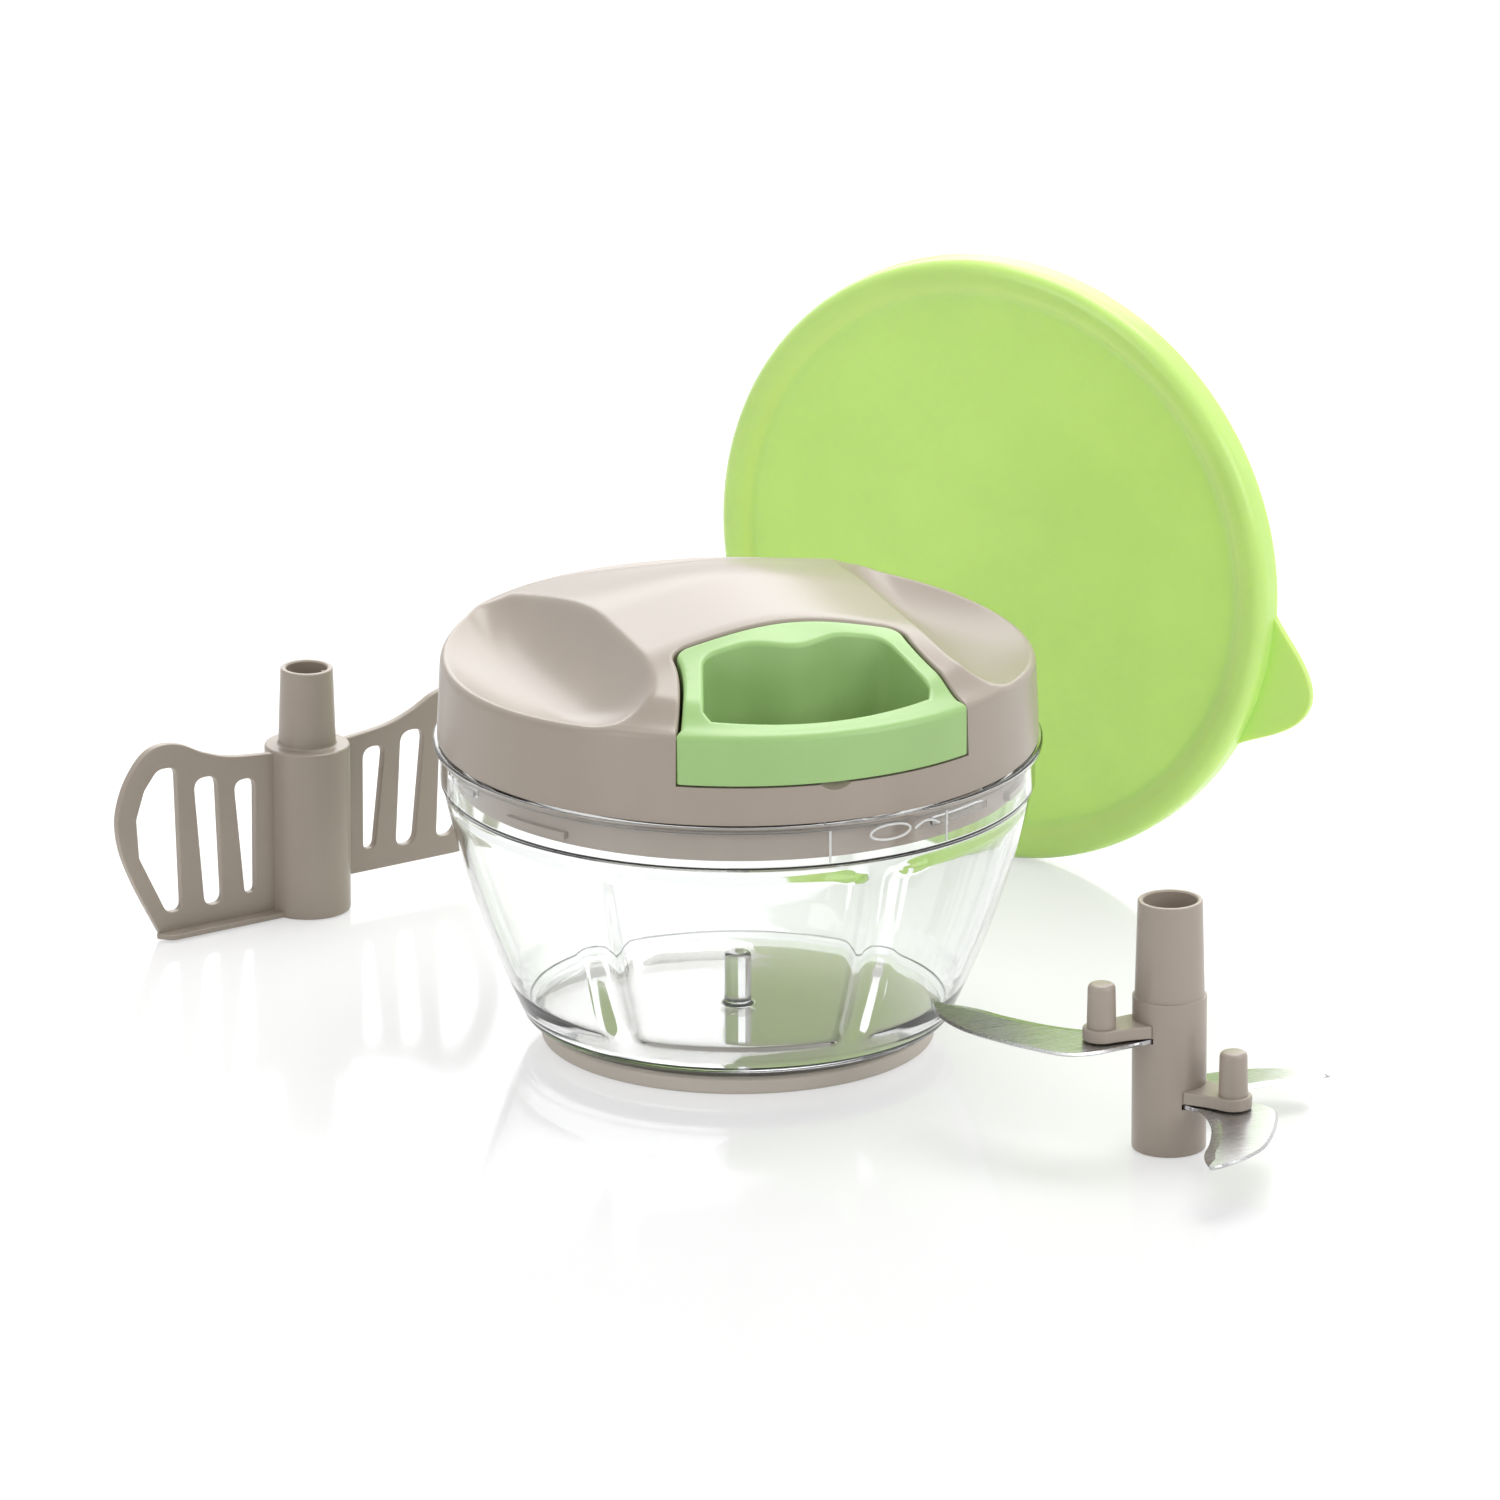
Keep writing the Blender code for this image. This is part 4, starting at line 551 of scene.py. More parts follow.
def top_height(x, y):
    """The cover's top: the lower of ridge and scoop, with the crease between them rounded."""
    ridge, scoop = ridge_height(x, y), scoop_height(x, y)
    blend_height = max(CREASE_BLEND - abs(ridge - scoop), 0.0)
    return min(ridge, scoop) - blend_height ** 2 / (4 * CREASE_BLEND)


def plain(name, shape):
    """A loose object from a bmesh, used to cut or join another."""
    bmesh.ops.recalc_face_normals(shape, faces=shape.faces)
    mesh = bpy.data.meshes.new(name)
    shape.to_mesh(mesh)
    shape.free()
    made = bpy.data.objects.new(name, mesh)
    scene.collection.objects.link(made)
    return made


def worked(base, steps):
    """The mesh of a loose object after cutting and joining others, all of which are used up."""
    for tool, operation in steps:
        cut = base.modifiers.new(tool.name, "BOOLEAN")
        cut.object = tool
        cut.operation = operation
        cut.solver = "EXACT"
    mesh = mesh_of(base)
    for used in [base] + [tool for tool, operation in steps]:
        bpy.data.objects.remove(used)
    return mesh


def crown(name, around, across):
    """Solid of the cover's outer form, from the skirt's lower edge to its arched top."""
    level = TOP_RADIUS - SHOULDER_ROUND
    profile = [(0, EDGE_HEIGHT)]
    profile += [(level * index / across, EDGE_HEIGHT) for index in range(1, across + 1)]
    for step in range(1, 11):
        turn = pi * step / 20
        profile.append((level + SHOULDER_ROUND * sin(turn), EDGE_HEIGHT - SHOULDER_ROUND * (1 - cos(turn))))
    profile += [SKIRT_TOP] + softened([SKIRT_TOP, (SKIRT_RADIUS, SKIRT_LOW), (0, SKIRT_LOW)], 0.0004, 2)[3:]
    shape = turned(profile, around, closed=False)
    for point in shape.verts:
        drop = EDGE_HEIGHT - point.co.z
        if drop > SHOULDER_ROUND * 1.01:
            continue
        radius = hypot(point.co.x, point.co.y)
        inward = min(1.0, RIM_EDGE / max(radius, 1e-6))
        point.co.z = top_height(point.co.x * inward, point.co.y * inward) - drop
    return plain(name, shape)


def edged_block(name, outline, low, top_at, radius, flare):
    """Block that rises to a surface and is rounded there: flare 1 widens it, -1 narrows it."""
    shape = bmesh.new()
    corner = shape.verts.layers.int.new("corner")
    points = [Vector(point) for point in outline]
    if sum(point.cross(points[index - 1]) for index, point in enumerate(points)) > 0:
        points.reverse()
    outward = []
    for index, point in enumerate(points):
        along = (points[(index + 1) % len(points)] - points[index - 1]).normalized()
        outward.append(Vector((along.y, -along.x)))
    verts = []
    for index, point in enumerate(points):
        vert = shape.verts.new((point.x, point.y, low))
        vert[corner] = index
        verts.append(vert)
    face = shape.faces.new(verts)
    stages = [(radius * (1 - cos(turn)), -radius * (1 - sin(turn)))
              for turn in [radians(78) * step / 5 for step in range(6)]]
    stages += [(radius * 1.05, 0.0), (radius * 1.6, radius * 0.5)]
    for shift, rise in stages + [(None, None)]:
        below = face
        raised = bmesh.ops.extrude_face_region(shape, geom=[below])["geom"]
        for item in raised:
            if isinstance(item, bmesh.types.BMFace):
                face = item
            elif isinstance(item, bmesh.types.BMVert) and shift is None:
                item.co.z = CEILING
            elif isinstance(item, bmesh.types.BMVert):
                plan = points[item[corner]] + outward[item[corner]] * shift * flare
                item.co = (plan.x, plan.y, top_at(plan.x, plan.y) + rise)
        if shift != stages[0][0]:
            bmesh.ops.delete(shape, geom=[below], context="FACES_ONLY")
    bmesh.ops.triangulate(shape, faces=[part for part in shape.faces if len(part.verts) > 4])
    return plain(name, shape)


def curve_between(outline, spacing):
    """The same outline with points no further apart than the spacing."""
    result = []
    for start, end in zip(outline, outline[1:] + outline[:1]):
        start, end = Vector(start), Vector(end)
        parts = max(int((end - start).length / spacing + 0.999), 1)
        result += [tuple(start.lerp(end, part / parts)) for part in range(parts)]
    return result


HANDLE_FRONT_HALF, HANDLE_FRONT_Y = 0.0338, -0.0581
HANDLE_BACK_HALF, HANDLE_BACK_Y = 0.0264, -0.0325
HANDLE_SIDE_Y = -0.0360
HANDLE_CORNER = 0.0035
HANDLE_FLARE = 1.6
HANDLE_OVERRUN_Y = -0.0716
OUTLINE_SPACING = 0.0011


def handle_plan(grow):
    """Plan outline of the pull handle, run out past the skirt at the front."""
    side = []
    for index in range(17):
        share = index / 16
        x = HANDLE_BACK_HALF + (HANDLE_FRONT_HALF - HANDLE_BACK_HALF) * share ** HANDLE_FLARE
        side.append((x + grow, HANDLE_SIDE_Y + (HANDLE_FRONT_Y - HANDLE_SIDE_Y) * share))
    side = [(HANDLE_FRONT_HALF + grow, HANDLE_OVERRUN_Y)] + side[::-1]
    corner = HANDLE_CORNER + grow
    middle = (HANDLE_BACK_HALF + grow - corner, HANDLE_BACK_Y + grow - corner)
    side += arc(corner, 0, 90, 8, middle)
    right = side[:1] + [point for before, point in zip(side, side[1:]) if Vector(point) != Vector(before)]
    return curve_between(right + [(-x, y) for x, y in reversed(right)], OUTLINE_SPACING)


def upright_rod(radius, x, y, low, high, shape=None, steps=40):
    """A round rod between two heights."""
    shape = shape or bmesh.new()
    place = Matrix.Translation((x, y, (low + high) / 2))
    bmesh.ops.create_cone(shape, cap_ends=True, segments=steps, radius1=radius, radius2=radius,
                          depth=high - low, matrix=place)
    return shape


def level_rod(radius, x, z, start_y, end_y, shape=None, steps=32):
    """A round rod along Y at a given height."""
    shape = shape or bmesh.new()
    place = Matrix.Translation((x, (start_y + end_y) / 2, z)) @ Matrix.Rotation(radians(90), 4, "X")
    bmesh.ops.create_cone(shape, cap_ends=True, segments=steps, radius1=radius, radius2=radius,
                          depth=abs(end_y - start_y), matrix=place)
    return shape


PLATE_UNDERSIDE = 0.0659
SCREW_CIRCLE = 0.0480
SCREW_PLACES = [(SCREW_CIRCLE * cos(radians(turn)), SCREW_CIRCLE * sin(radians(turn)))
                for turn in (-25, 90, 205)]
EAR_REACH = 0.0275
EAR_PLACES = [(EAR_REACH, 0.0), (-EAR_REACH, 0.0)]
BOSS_RADIUS = 0.0039
SCREW_BORE = 0.0017
SCREW_BORE_TOP = 0.0805
EAR_BORE_TOP = 0.1002
CUP_TOP = 0.0964
AXLE_BOSS_RADIUS = 0.0050
AXLE_BORE = 0.0024
AXLE_BORE_TOP = 0.1006
CORD_HEIGHT = 0.0833
EYELET_BORE = 0.0023
EYELET_BORE_FRONT, EYELET_BORE_BACK = -0.0347, -0.0279


def lowered_top(x, y):
    """Height of the cover's inner face."""
    return top_height(x, y) - SHELL_WALL


def cavity_form():
    """The hollow under the cover: its bosses and pocket walls are left standing in it."""
    rings = 30
    profile = [(CAVITY_RADIUS * index / rings, EDGE_HEIGHT) for index in range(rings + 1)]
    profile += [(CAVITY_RADIUS, SKIRT_LOW - CUT_PAST), (0, SKIRT_LOW - CUT_PAST)]
    shape = turned(profile, 120, closed=False)
    for point in shape.verts:
        if point.co.z > EDGE_HEIGHT - 0.0001:
            point.co.z = lowered_top(point.co.x, point.co.y)
    hollow = plain("cover_hollow", shape)
    standing = plate_of(handle_plan(POCKET_GAP + POCKET_WALL), POCKET_FLOOR - POCKET_WALL, CEILING)
    walls = plain("pocket_walls", standing)
    bosses = bmesh.new()
    for x, y in SCREW_PLACES:
        upright_rod(BOSS_RADIUS, x, y, SKIRT_LOW - 2 * CUT_PAST, CEILING, bosses)
    for x, y in EAR_PLACES:
        upright_rod(BOSS_RADIUS, x, y, CUP_TOP + FIT_GAP, CEILING, bosses)
    upright_rod(AXLE_BOSS_RADIUS, 0, 0, CUP_TOP + FIT_GAP, CEILING, bosses)
    level_rod(NOTCH_RADIUS + NOTCH_WALL, 0, NOTCH_HEIGHT, -SKIRT_RADIUS, NOTCH_BACK + NOTCH_WALL, bosses)
    return worked(hollow, [(walls, "DIFFERENCE"), (plain("standing_bosses", bosses), "DIFFERENCE")])


def object_from(name, mesh):
    """A loose object from a mesh."""
    made = bpy.data.objects.new(name, mesh)
    scene.collection.objects.link(made)
    return made


bores = bmesh.new()
for x, y in SCREW_PLACES:
    upright_rod(SCREW_BORE, x, y, SKIRT_LOW - CUT_PAST, SCREW_BORE_TOP, bores, 24)
for x, y in EAR_PLACES:
    upright_rod(SCREW_BORE, x, y, CUP_TOP, EAR_BORE_TOP, bores, 24)
upright_rod(AXLE_BORE, 0, 0, CUP_TOP, AXLE_BORE_TOP, bores, 24)
level_rod(EYELET_BORE, 0, CORD_HEIGHT, EYELET_BORE_FRONT, EYELET_BORE_BACK, bores, 24)
notch = bmesh.new()
bmesh.ops.create_uvsphere(notch, u_segments=96, v_segments=64, radius=NOTCH_BALL,
                          matrix=Matrix.Translation((0, NOTCH_BALL_Y, NOTCH_BALL_HEIGHT)))
pocket = edged_block("cover_pocket", handle_plan(POCKET_GAP), POCKET_FLOOR, top_height, SEAM_ROUND, 1)
cover_mesh = worked(crown("cover_form", 320, 90), [
    (object_from("cover_inside", cavity_form()), "DIFFERENCE"),
    (pocket, "DIFFERENCE"),
    (plain("thumb_notch", notch), "DIFFERENCE"),
    (plain("cover_bores", bores), "DIFFERENCE"),
])
cover_taupe = plastic("cover_taupe_look", TAUPE, 0.30, grain=0.00002)
settled("cover_crown", cover_mesh, cover_taupe, "cover", "taupe_plastic", "cover_shell", crease=40)


# The pull handle is green plastic, flush with the cover, with an opening for the fingers. The cord's
# crimped end sits in a well behind the opening.
GRIP_WIDTH = 0.0060
GRIP_RADIUS = SKIRT_RADIUS - GRIP_WIDTH
OPENING_FRONT_HALF, OPENING_BACK_HALF = 0.0268, 0.0210
OPENING_BACK_Y = -0.0375
FINGER_SPACING = 0.0127
FINGER_BUMP = 0.0035
BUMP_FACE = OPENING_BACK_Y - FINGER_BUMP
OPENING_CORNER_ANGLE = 1.6
OPENING_CORNER = 0.0018
OPENING_ROUND = 0.0010
HANDLE_FRONT_RADIUS = 0.06685
HANDLE_FRONT_CORNER = 0.0016
HANDLE_SIDE_END_Y = -0.0560
KNOT_RADIUS = 0.0021
KNOT_WELL = BUMP_FACE + 0.0005
KNOT_SEAT = BUMP_FACE + 0.0043
CORD_BORE = 0.0009
CORD_BORE_BACK = -0.0303


def handle_outline():
    """The handle's own plan: its front corners are rounded where they meet the skirt."""
    plan = [point for point in handle_plan(0) if point[1] > HANDLE_SIDE_END_Y]
    corner = HANDLE_FRONT_CORNER
    middle_x = HANDLE_FRONT_HALF - corner
    middle_y = -sqrt((HANDLE_FRONT_RADIUS - corner) ** 2 - middle_x ** 2)
    end = degrees(atan2(middle_y, middle_x))
    right = arc(corner, 0, end, 6, (middle_x, middle_y))
    front = arc(HANDLE_FRONT_RADIUS, end, -180 - end, 72)[1:-1]
    left = [(-x, y) for x, y in right]
    start = min(range(len(plan)), key=lambda index: (plan[index][0] < 0, plan[index][1]))
    plan = plan[start:] + plan[:start]
    return plan + left + front[::-1] + right[::-1]


def opening_outline():
    """The finger opening: it follows the grip in front, with two finger hollows behind."""
    grip_end = degrees(asin(OPENING_FRONT_HALF / GRIP_RADIUS))
    grip_end_y = -GRIP_RADIUS * cos(radians(grip_end))
    front = arc(GRIP_RADIUS, -90 - grip_end + OPENING_CORNER_ANGLE, -90 + grip_end - OPENING_CORNER_ANGLE, 40)
    back = []
    for step in range(41):
        x = FINGER_SPACING * (1 - step / 20)
        back.append((x, OPENING_BACK_Y - FINGER_BUMP * (1 + cos(pi * x / FINGER_SPACING)) / 2))
    right_side = Vector((OPENING_FRONT_HALF - OPENING_BACK_HALF, grip_end_y - OPENING_BACK_Y)).normalized()
    front_corner = Vector((OPENING_FRONT_HALF, grip_end_y)) - right_side * OPENING_CORNER
    back_corner = Vector((OPENING_BACK_HALF, OPENING_BACK_Y))
    start = back_corner + right_side * HANDLE_CORNER
    end = back_corner - Vector((HANDLE_CORNER, 0))
    bend = [start] + [bend_point(start, back_corner, end, step / 8) for step in range(1, 9)]
    right = [tuple(front_corner)] + [tuple(point) for point in bend]
    return curve_between(front + right + back + [(-x, y) for x, y in reversed(right)], OUTLINE_SPACING)


block = edged_block("handle_block", handle_outline(), HANDLE_BOTTOM, top_height, SEAM_ROUND, -1)
opening_low = HANDLE_BOTTOM - CUT_PAST
opening = edged_block("finger_opening", opening_outline(), opening_low, top_height, OPENING_ROUND, 1)
knot_well = level_rod(KNOT_RADIUS + FIT_GAP, 0, CORD_HEIGHT, KNOT_WELL, KNOT_SEAT)
cord_bore = level_rod(CORD_BORE, 0, CORD_HEIGHT, KNOT_SEAT - 0.0003, CORD_BORE_BACK, steps=20)
handle_mesh = worked(crown("handle_form", 320, 90), [
    (block, "INTERSECT"),
    (opening, "DIFFERENCE"),
    (plain("knot_well", knot_well), "DIFFERENCE"),
    (plain("cord_bore", cord_bore), "DIFFERENCE"),
])
HANDLE_GREEN = (0.352, 0.565, 0.215)
handle_green = plastic("handle_green_look", HANDLE_GREEN, 0.34, grain=0.000015, soft=0.15,
                       glow=(0.6, 1.0, 0.3))
settled("grip", handle_mesh, handle_green, "handle", "handle_green", "pull_handle", crease=40)


# The storage lid is soft lime plastic that lets a little light through: a flat sunken panel, a broad
# rounded rim that snaps over the bowl's rim flange, and a pull tab. It leans on nothing, on its edge.
LID_RADIUS = 0.0710
LID_HEIGHT = 0.0075
LID_DROP = 0.0022
LID_WALL = 0.0016
LID_CHANNEL = (0.0641, 0.0684)
LID_RING = LID_CHANNEL[0] - LID_WALL
LID_ROUND = 0.0030
TAB_MIDDLE, TAB_HALF = -16.5, 17
TAB_REACH = 0.0125
TAB_ROOT = (LID_RADIUS + LID_CHANNEL[1]) / 2
TAB_THICKNESS = 0.0018
TAB_ROUND = 0.0004
LID_PLACE = Matrix.Translation((0.0945, 0.0986, 0.0710)) @ Matrix.Rotation(radians(-48.5), 4, "Z")
LID_PLACE = LID_PLACE @ Matrix.Rotation(radians(90), 4, "X")
lid_profile = [(0, -LID_DROP), (LID_RING - 0.0012, -LID_DROP), (LID_RING, -LID_DROP + 0.0002)]
lid_profile += [(LID_RING + 0.0012, -LID_DROP * 0.62), (LID_RING + 0.0026, -0.0003), (LID_RING + 0.0042, 0)]
for turn in range(0, 91, 15):
    outward, down = LID_ROUND * sin(radians(turn)), LID_ROUND * cos(radians(turn))
    lid_profile.append((LID_RADIUS - LID_ROUND + outward, -LID_ROUND + down))
lid_profile += softened([
    (LID_RADIUS, -0.0040), (LID_RADIUS, -LID_HEIGHT), (LID_CHANNEL[1], -LID_HEIGHT),
    (LID_CHANNEL[1], -LID_WALL), (LID_CHANNEL[0], -LID_WALL), (LID_CHANNEL[0], -LID_HEIGHT),
    (LID_RING, -LID_HEIGHT), (LID_RING, -LID_DROP - LID_WALL), (0, -LID_DROP - LID_WALL),
], 0.0005, 3)[4:]
lid_form = turned(lid_profile, 256, closed=False)
tab_edge = []
for step in range(49):
    share = step / 48
    reach = TAB_ROOT + (LID_RADIUS + TAB_REACH - TAB_ROOT) * (1 - cos(2 * pi * share)) / 2
    angle = radians(TAB_MIDDLE - TAB_HALF + 2 * TAB_HALF * share)
    tab_edge.append((reach * cos(angle), reach * sin(angle)))
tab_outline = tab_edge + arc(LID_CHANNEL[1] + 0.0003, TAB_MIDDLE + TAB_HALF, TAB_MIDDLE - TAB_HALF, 16)
tab = plate_of(tab_outline, -LID_HEIGHT, -LID_HEIGHT + TAB_THICKNESS)
bmesh.ops.bevel(tab, geom=[edge for edge in tab.edges if abs(edge.verts[0].co.z - edge.verts[1].co.z) < 1e-6],
                offset=TAB_ROUND, offset_type="OFFSET", affect="EDGES", segments=3, profile=0.5, material=-1)
lid_mesh = worked(plain("lid_form", lid_form), [(plain("pull_tab", tab), "UNION")])
lid_mesh.transform(LID_PLACE)
LID_LIME = (0.560, 0.785, 0.230)
lid_lime = plastic("lid_lime_look", LID_LIME, 0.26, grain=0.00001, soft=0.55, glow=(0.9, 1.0, 0.25))
settled("lid", lid_mesh, lid_lime, "storage_lid", "lid_lime", "storage_lid", crease=40)


# The inserts share one kind of hub: a wide foot with a bore for the bowl's pin, a narrow tapered neck
# above, and a socket with a key rib for the shaft's coupler.
HUB_HEIGHT = 0.0575
PIN_BORE = 0.0033
PIN_BORE_DEPTH = 0.0130
SOCKET_RADIUS = 0.0047
SOCKET_DEPTH = 0.0130
KEY_HALF = 0.0008
KEY_DEPTH = 0.0011
HUB_ROUND = 0.0007
HUB_LIP = 0.0004
SOCKET_CHAMFER = 0.0003


def hub_form(name, radius, neck_start, neck_bottom, neck_top, mouth=None):
    """Hub of an insert; the mouth is the radius and depth of a wider place at the socket's top."""
    profile = softened([
        (0, PIN_BORE_DEPTH), (PIN_BORE, PIN_BORE_DEPTH), (PIN_BORE, 0), (radius, 0), (radius, neck_start),
        (neck_bottom, neck_start), (neck_top, HUB_HEIGHT),
    ], HUB_ROUND, 4)[5:-5]
    profile = [(0, PIN_BORE_DEPTH), (PIN_BORE, PIN_BORE_DEPTH)] + profile
    for turn in range(0, 91, 18):
        outward, up = HUB_LIP * cos(radians(turn)), HUB_LIP * sin(radians(turn))
        profile.append((neck_top - HUB_LIP + outward, HUB_HEIGHT - HUB_LIP + up))
    opening_radius = mouth[0] if mouth else SOCKET_RADIUS
    profile += [(opening_radius + SOCKET_CHAMFER, HUB_HEIGHT), (opening_radius, HUB_HEIGHT - SOCKET_CHAMFER)]
    if mouth:
        profile += [(mouth[0], HUB_HEIGHT - mouth[1]), (SOCKET_RADIUS, HUB_HEIGHT - mouth[1])]
    profile += [(SOCKET_RADIUS, HUB_HEIGHT - SOCKET_DEPTH), (0, HUB_HEIGHT - SOCKET_DEPTH)]
    return plain(name, turned(profile, 96, closed=False))


def key_rib(top):
    """Rib inside the socket that fits the coupler's groove."""
    outline = [(SOCKET_RADIUS - KEY_DEPTH, -KEY_HALF), (SOCKET_RADIUS + 0.0003, -KEY_HALF),
               (SOCKET_RADIUS + 0.0003, KEY_HALF), (SOCKET_RADIUS - KEY_DEPTH, KEY_HALF)]
    return plain("key_rib", plate_of(outline, HUB_HEIGHT - SOCKET_DEPTH - 0.0014, top))


def swing(shape, turn, axis):
    """Turn a shape by so many degrees round an axis through the origin."""
    bmesh.ops.rotate(shape, verts=shape.verts, cent=(0, 0, 0), matrix=Matrix.Rotation(radians(turn), 3, axis))


def grown_from(name, outline, low, high, turn, edge=0.0):
    """Loose plate turned round the upright axis, with all its edges rounded by the given amount."""
    shape = plate_of(outline, low, high)
    if edge:
        bmesh.ops.recalc_face_normals(shape, faces=shape.faces)
        edges = [item for item in shape.edges if item.calc_face_angle(0) > radians(35)]
        bmesh.ops.bevel(shape, geom=edges, offset=edge, offset_type="OFFSET", affect="EDGES", segments=3,
                        profile=0.5, material=-1, clamp_overlap=True)
    swing(shape, turn, "Z")
    return plain(name, shape)


# The blade insert has a taupe hub with three short arms, one over each blade, and a rounded peg on the
# end of each arm. The three sabre blades are thin stainless steel, ground on both edges, set at
# different heights and moulded into the hub.
BLADE_HUB_RADIUS = 0.00825
BLADE_PLACE = Matrix.Translation((0.0641, -0.1056, 0))
BLADE_NECK = (0.0355, 0.00775, 0.00720)
BLADE_FIRST_ANGLE = 187
BLADE_HEIGHTS = (0.0264, 0.0113, 0.0060)
BLADE_THICKNESS = 0.0009
BLADE_TIP_CLEARANCE = 0.0016
ARM_THICKNESS = 0.0029
ARM_LENGTH = 0.0168
ARM_END = 0.0042
ARM_ROOT_SHARE = 0.62
ARM_SINK = 0.0014
ARM_ROUND = 0.0004
PEG_RADIUS = 0.0033
PEG_HEIGHT = 0.0100
PEG_TAPER = 0.93
PEG_ROUND = 0.0013
SLIT_INNER, SLIT_OUTER = (0.00435, 0.0045), (0.01045, 0.0059)
SLIT_GAP = 0.0002
BLADE_MOUTH = (0.0060, 0.0040)

insert_taupe = plastic("insert_taupe_look", TAUPE, 0.32, grain=0.00002)
blade_hub = hub_form("blade_hub_form", BLADE_HUB_RADIUS, *BLADE_NECK, BLADE_MOUTH)
hub_steps = [(key_rib(HUB_HEIGHT - BLADE_MOUTH[1] - FIT_GAP), "UNION")]
for index, low in enumerate(BLADE_HEIGHTS):
    turn = BLADE_FIRST_ANGLE + 120 * index
    arm_low = low + BLADE_THICKNESS + FIT_GAP
    arm_high = arm_low + ARM_THICKNESS
    root, wide = BLADE_HUB_RADIUS - ARM_SINK, BLADE_HUB_RADIUS * ARM_ROOT_SHARE
    arm_outline = [(root, -wide), (ARM_LENGTH - ARM_END, -ARM_END)]
    arm_outline += arc(ARM_END, -80, 80, 20, (ARM_LENGTH, 0))
    arm_outline += [(ARM_LENGTH - ARM_END, ARM_END), (root, wide)]
    arm = grown_from(f"arm_{index}", arm_outline, arm_low, arm_high, turn, ARM_ROUND)
    hub_steps.append((arm, "UNION"))
    peg_low, peg_high = arm_high - ARM_SINK, arm_high + PEG_HEIGHT
    peg_profile = softened([(0, peg_low), (PEG_RADIUS, peg_low), (PEG_RADIUS * PEG_TAPER, peg_high),
                            (0, peg_high)], PEG_ROUND, 6)
    peg = turned(peg_profile, 48, closed=False)
    peg_place = Matrix.Rotation(radians(turn), 4, "Z") @ Matrix.Translation((ARM_LENGTH, 0, 0))
    bmesh.ops.transform(peg, verts=peg.verts, matrix=peg_place)
    hub_steps.append((plain(f"peg_{index}", peg), "UNION"))
slit_outline = [(x, -y) for x, y in (SLIT_INNER, SLIT_OUTER)] + [SLIT_OUTER, SLIT_INNER]
for index, low in enumerate(BLADE_HEIGHTS):
    turn = BLADE_FIRST_ANGLE + 120 * index
    slit_low, slit_high = low - SLIT_GAP, low + BLADE_THICKNESS + SLIT_GAP
    slit = grown_from(f"blade_slit_{index}", slit_outline, slit_low, slit_high, turn)
    hub_steps.append((slit, "DIFFERENCE"))
blade_hub_mesh = worked(blade_hub, hub_steps)
blade_hub_mesh.transform(BLADE_PLACE)
settled("blade_hub_piece", blade_hub_mesh, insert_taupe, "blade_insert", "insert_taupe", "blade_hub",
        crease=40)

BRUSHING_ACROSS, BRUSHING_ALONG = 3200.0, 120.0
blade_steel, tree, steel_shader = new_look("blade_steel_look")
set_inputs(steel_shader, Metallic=1.0)
where = tree.nodes.new("ShaderNodeTexCoord")
stretch = added(tree, "Mapping", Rotation=(0, 0, radians(7)),
                Scale=(BRUSHING_ALONG, BRUSHING_ACROSS, BRUSHING_ACROSS))
brushing = added(tree, "TexNoise", Scale=1.0, Detail=4.0)
tree.links.new(where.outputs["Object"], stretch.inputs["Vector"])
tree.links.new(stretch.outputs["Vector"], brushing.inputs["Vector"])
two_tone(tree, brushing.outputs["Fac"], (0.42, 0.42, 0.425), (0.54, 0.54, 0.545), steel_shader)
varied_gloss(tree, brushing.outputs["Fac"], 0.20, 0.36, steel_shader)
bumped(tree, brushing.outputs["Fac"], 0.00001, 0.5, steel_shader)


def smooth_path(points, steps):
    """Points of a smooth curve that passes through the given plan points."""
    chain = [points[0]] + list(points) + [points[-1]]
    path = []
    for before, start, end, after in zip(chain, chain[1:], chain[2:], chain[3:]):
        before, start, end, after = Vector(before), Vector(start), Vector(end), Vector(after)
        for step in range(steps):
            t = step / steps
            path.append(0.5 * (2 * start + (end - before) * t
                               + (2 * before - 5 * start + 4 * end - after) * t * t
                               + (3 * start - before - 3 * end + after) * t ** 3))
    return path + [Vector(points[-1])]


SWEPT_BACK = [(0.0085, 0.0046), (0.0145, 0.0060), (0.0215, 0.0062), (0.0265, 0.0040), (0.0312, -0.0034),
              (0.0348, -0.0108), (0.0376, -0.0186), (0.0382, -0.0262), (0.0372, -0.0324), (0.0354, -0.0367)]
CUTTING_EDGE = [(0.0345, -0.0367), (0.0314, -0.0336), (0.0284, -0.0292), (0.0258, -0.0232), (0.0216, -0.0158),
                (0.0178, -0.0108), (0.0130, -0.0064), (0.0085, -0.0046)]
DRAWN_REACH = 0.051
BLADE_ROOT = (0.00465, 0.0042)
GRIND_WIDTH = 0.0024
GRIND_LEVELS = [(0.0, GRIND_WIDTH), (0.45, 0.0), (0.55, 0.0), (1.0, GRIND_WIDTH)]
BACK_GRIND_SHARE = 0.25
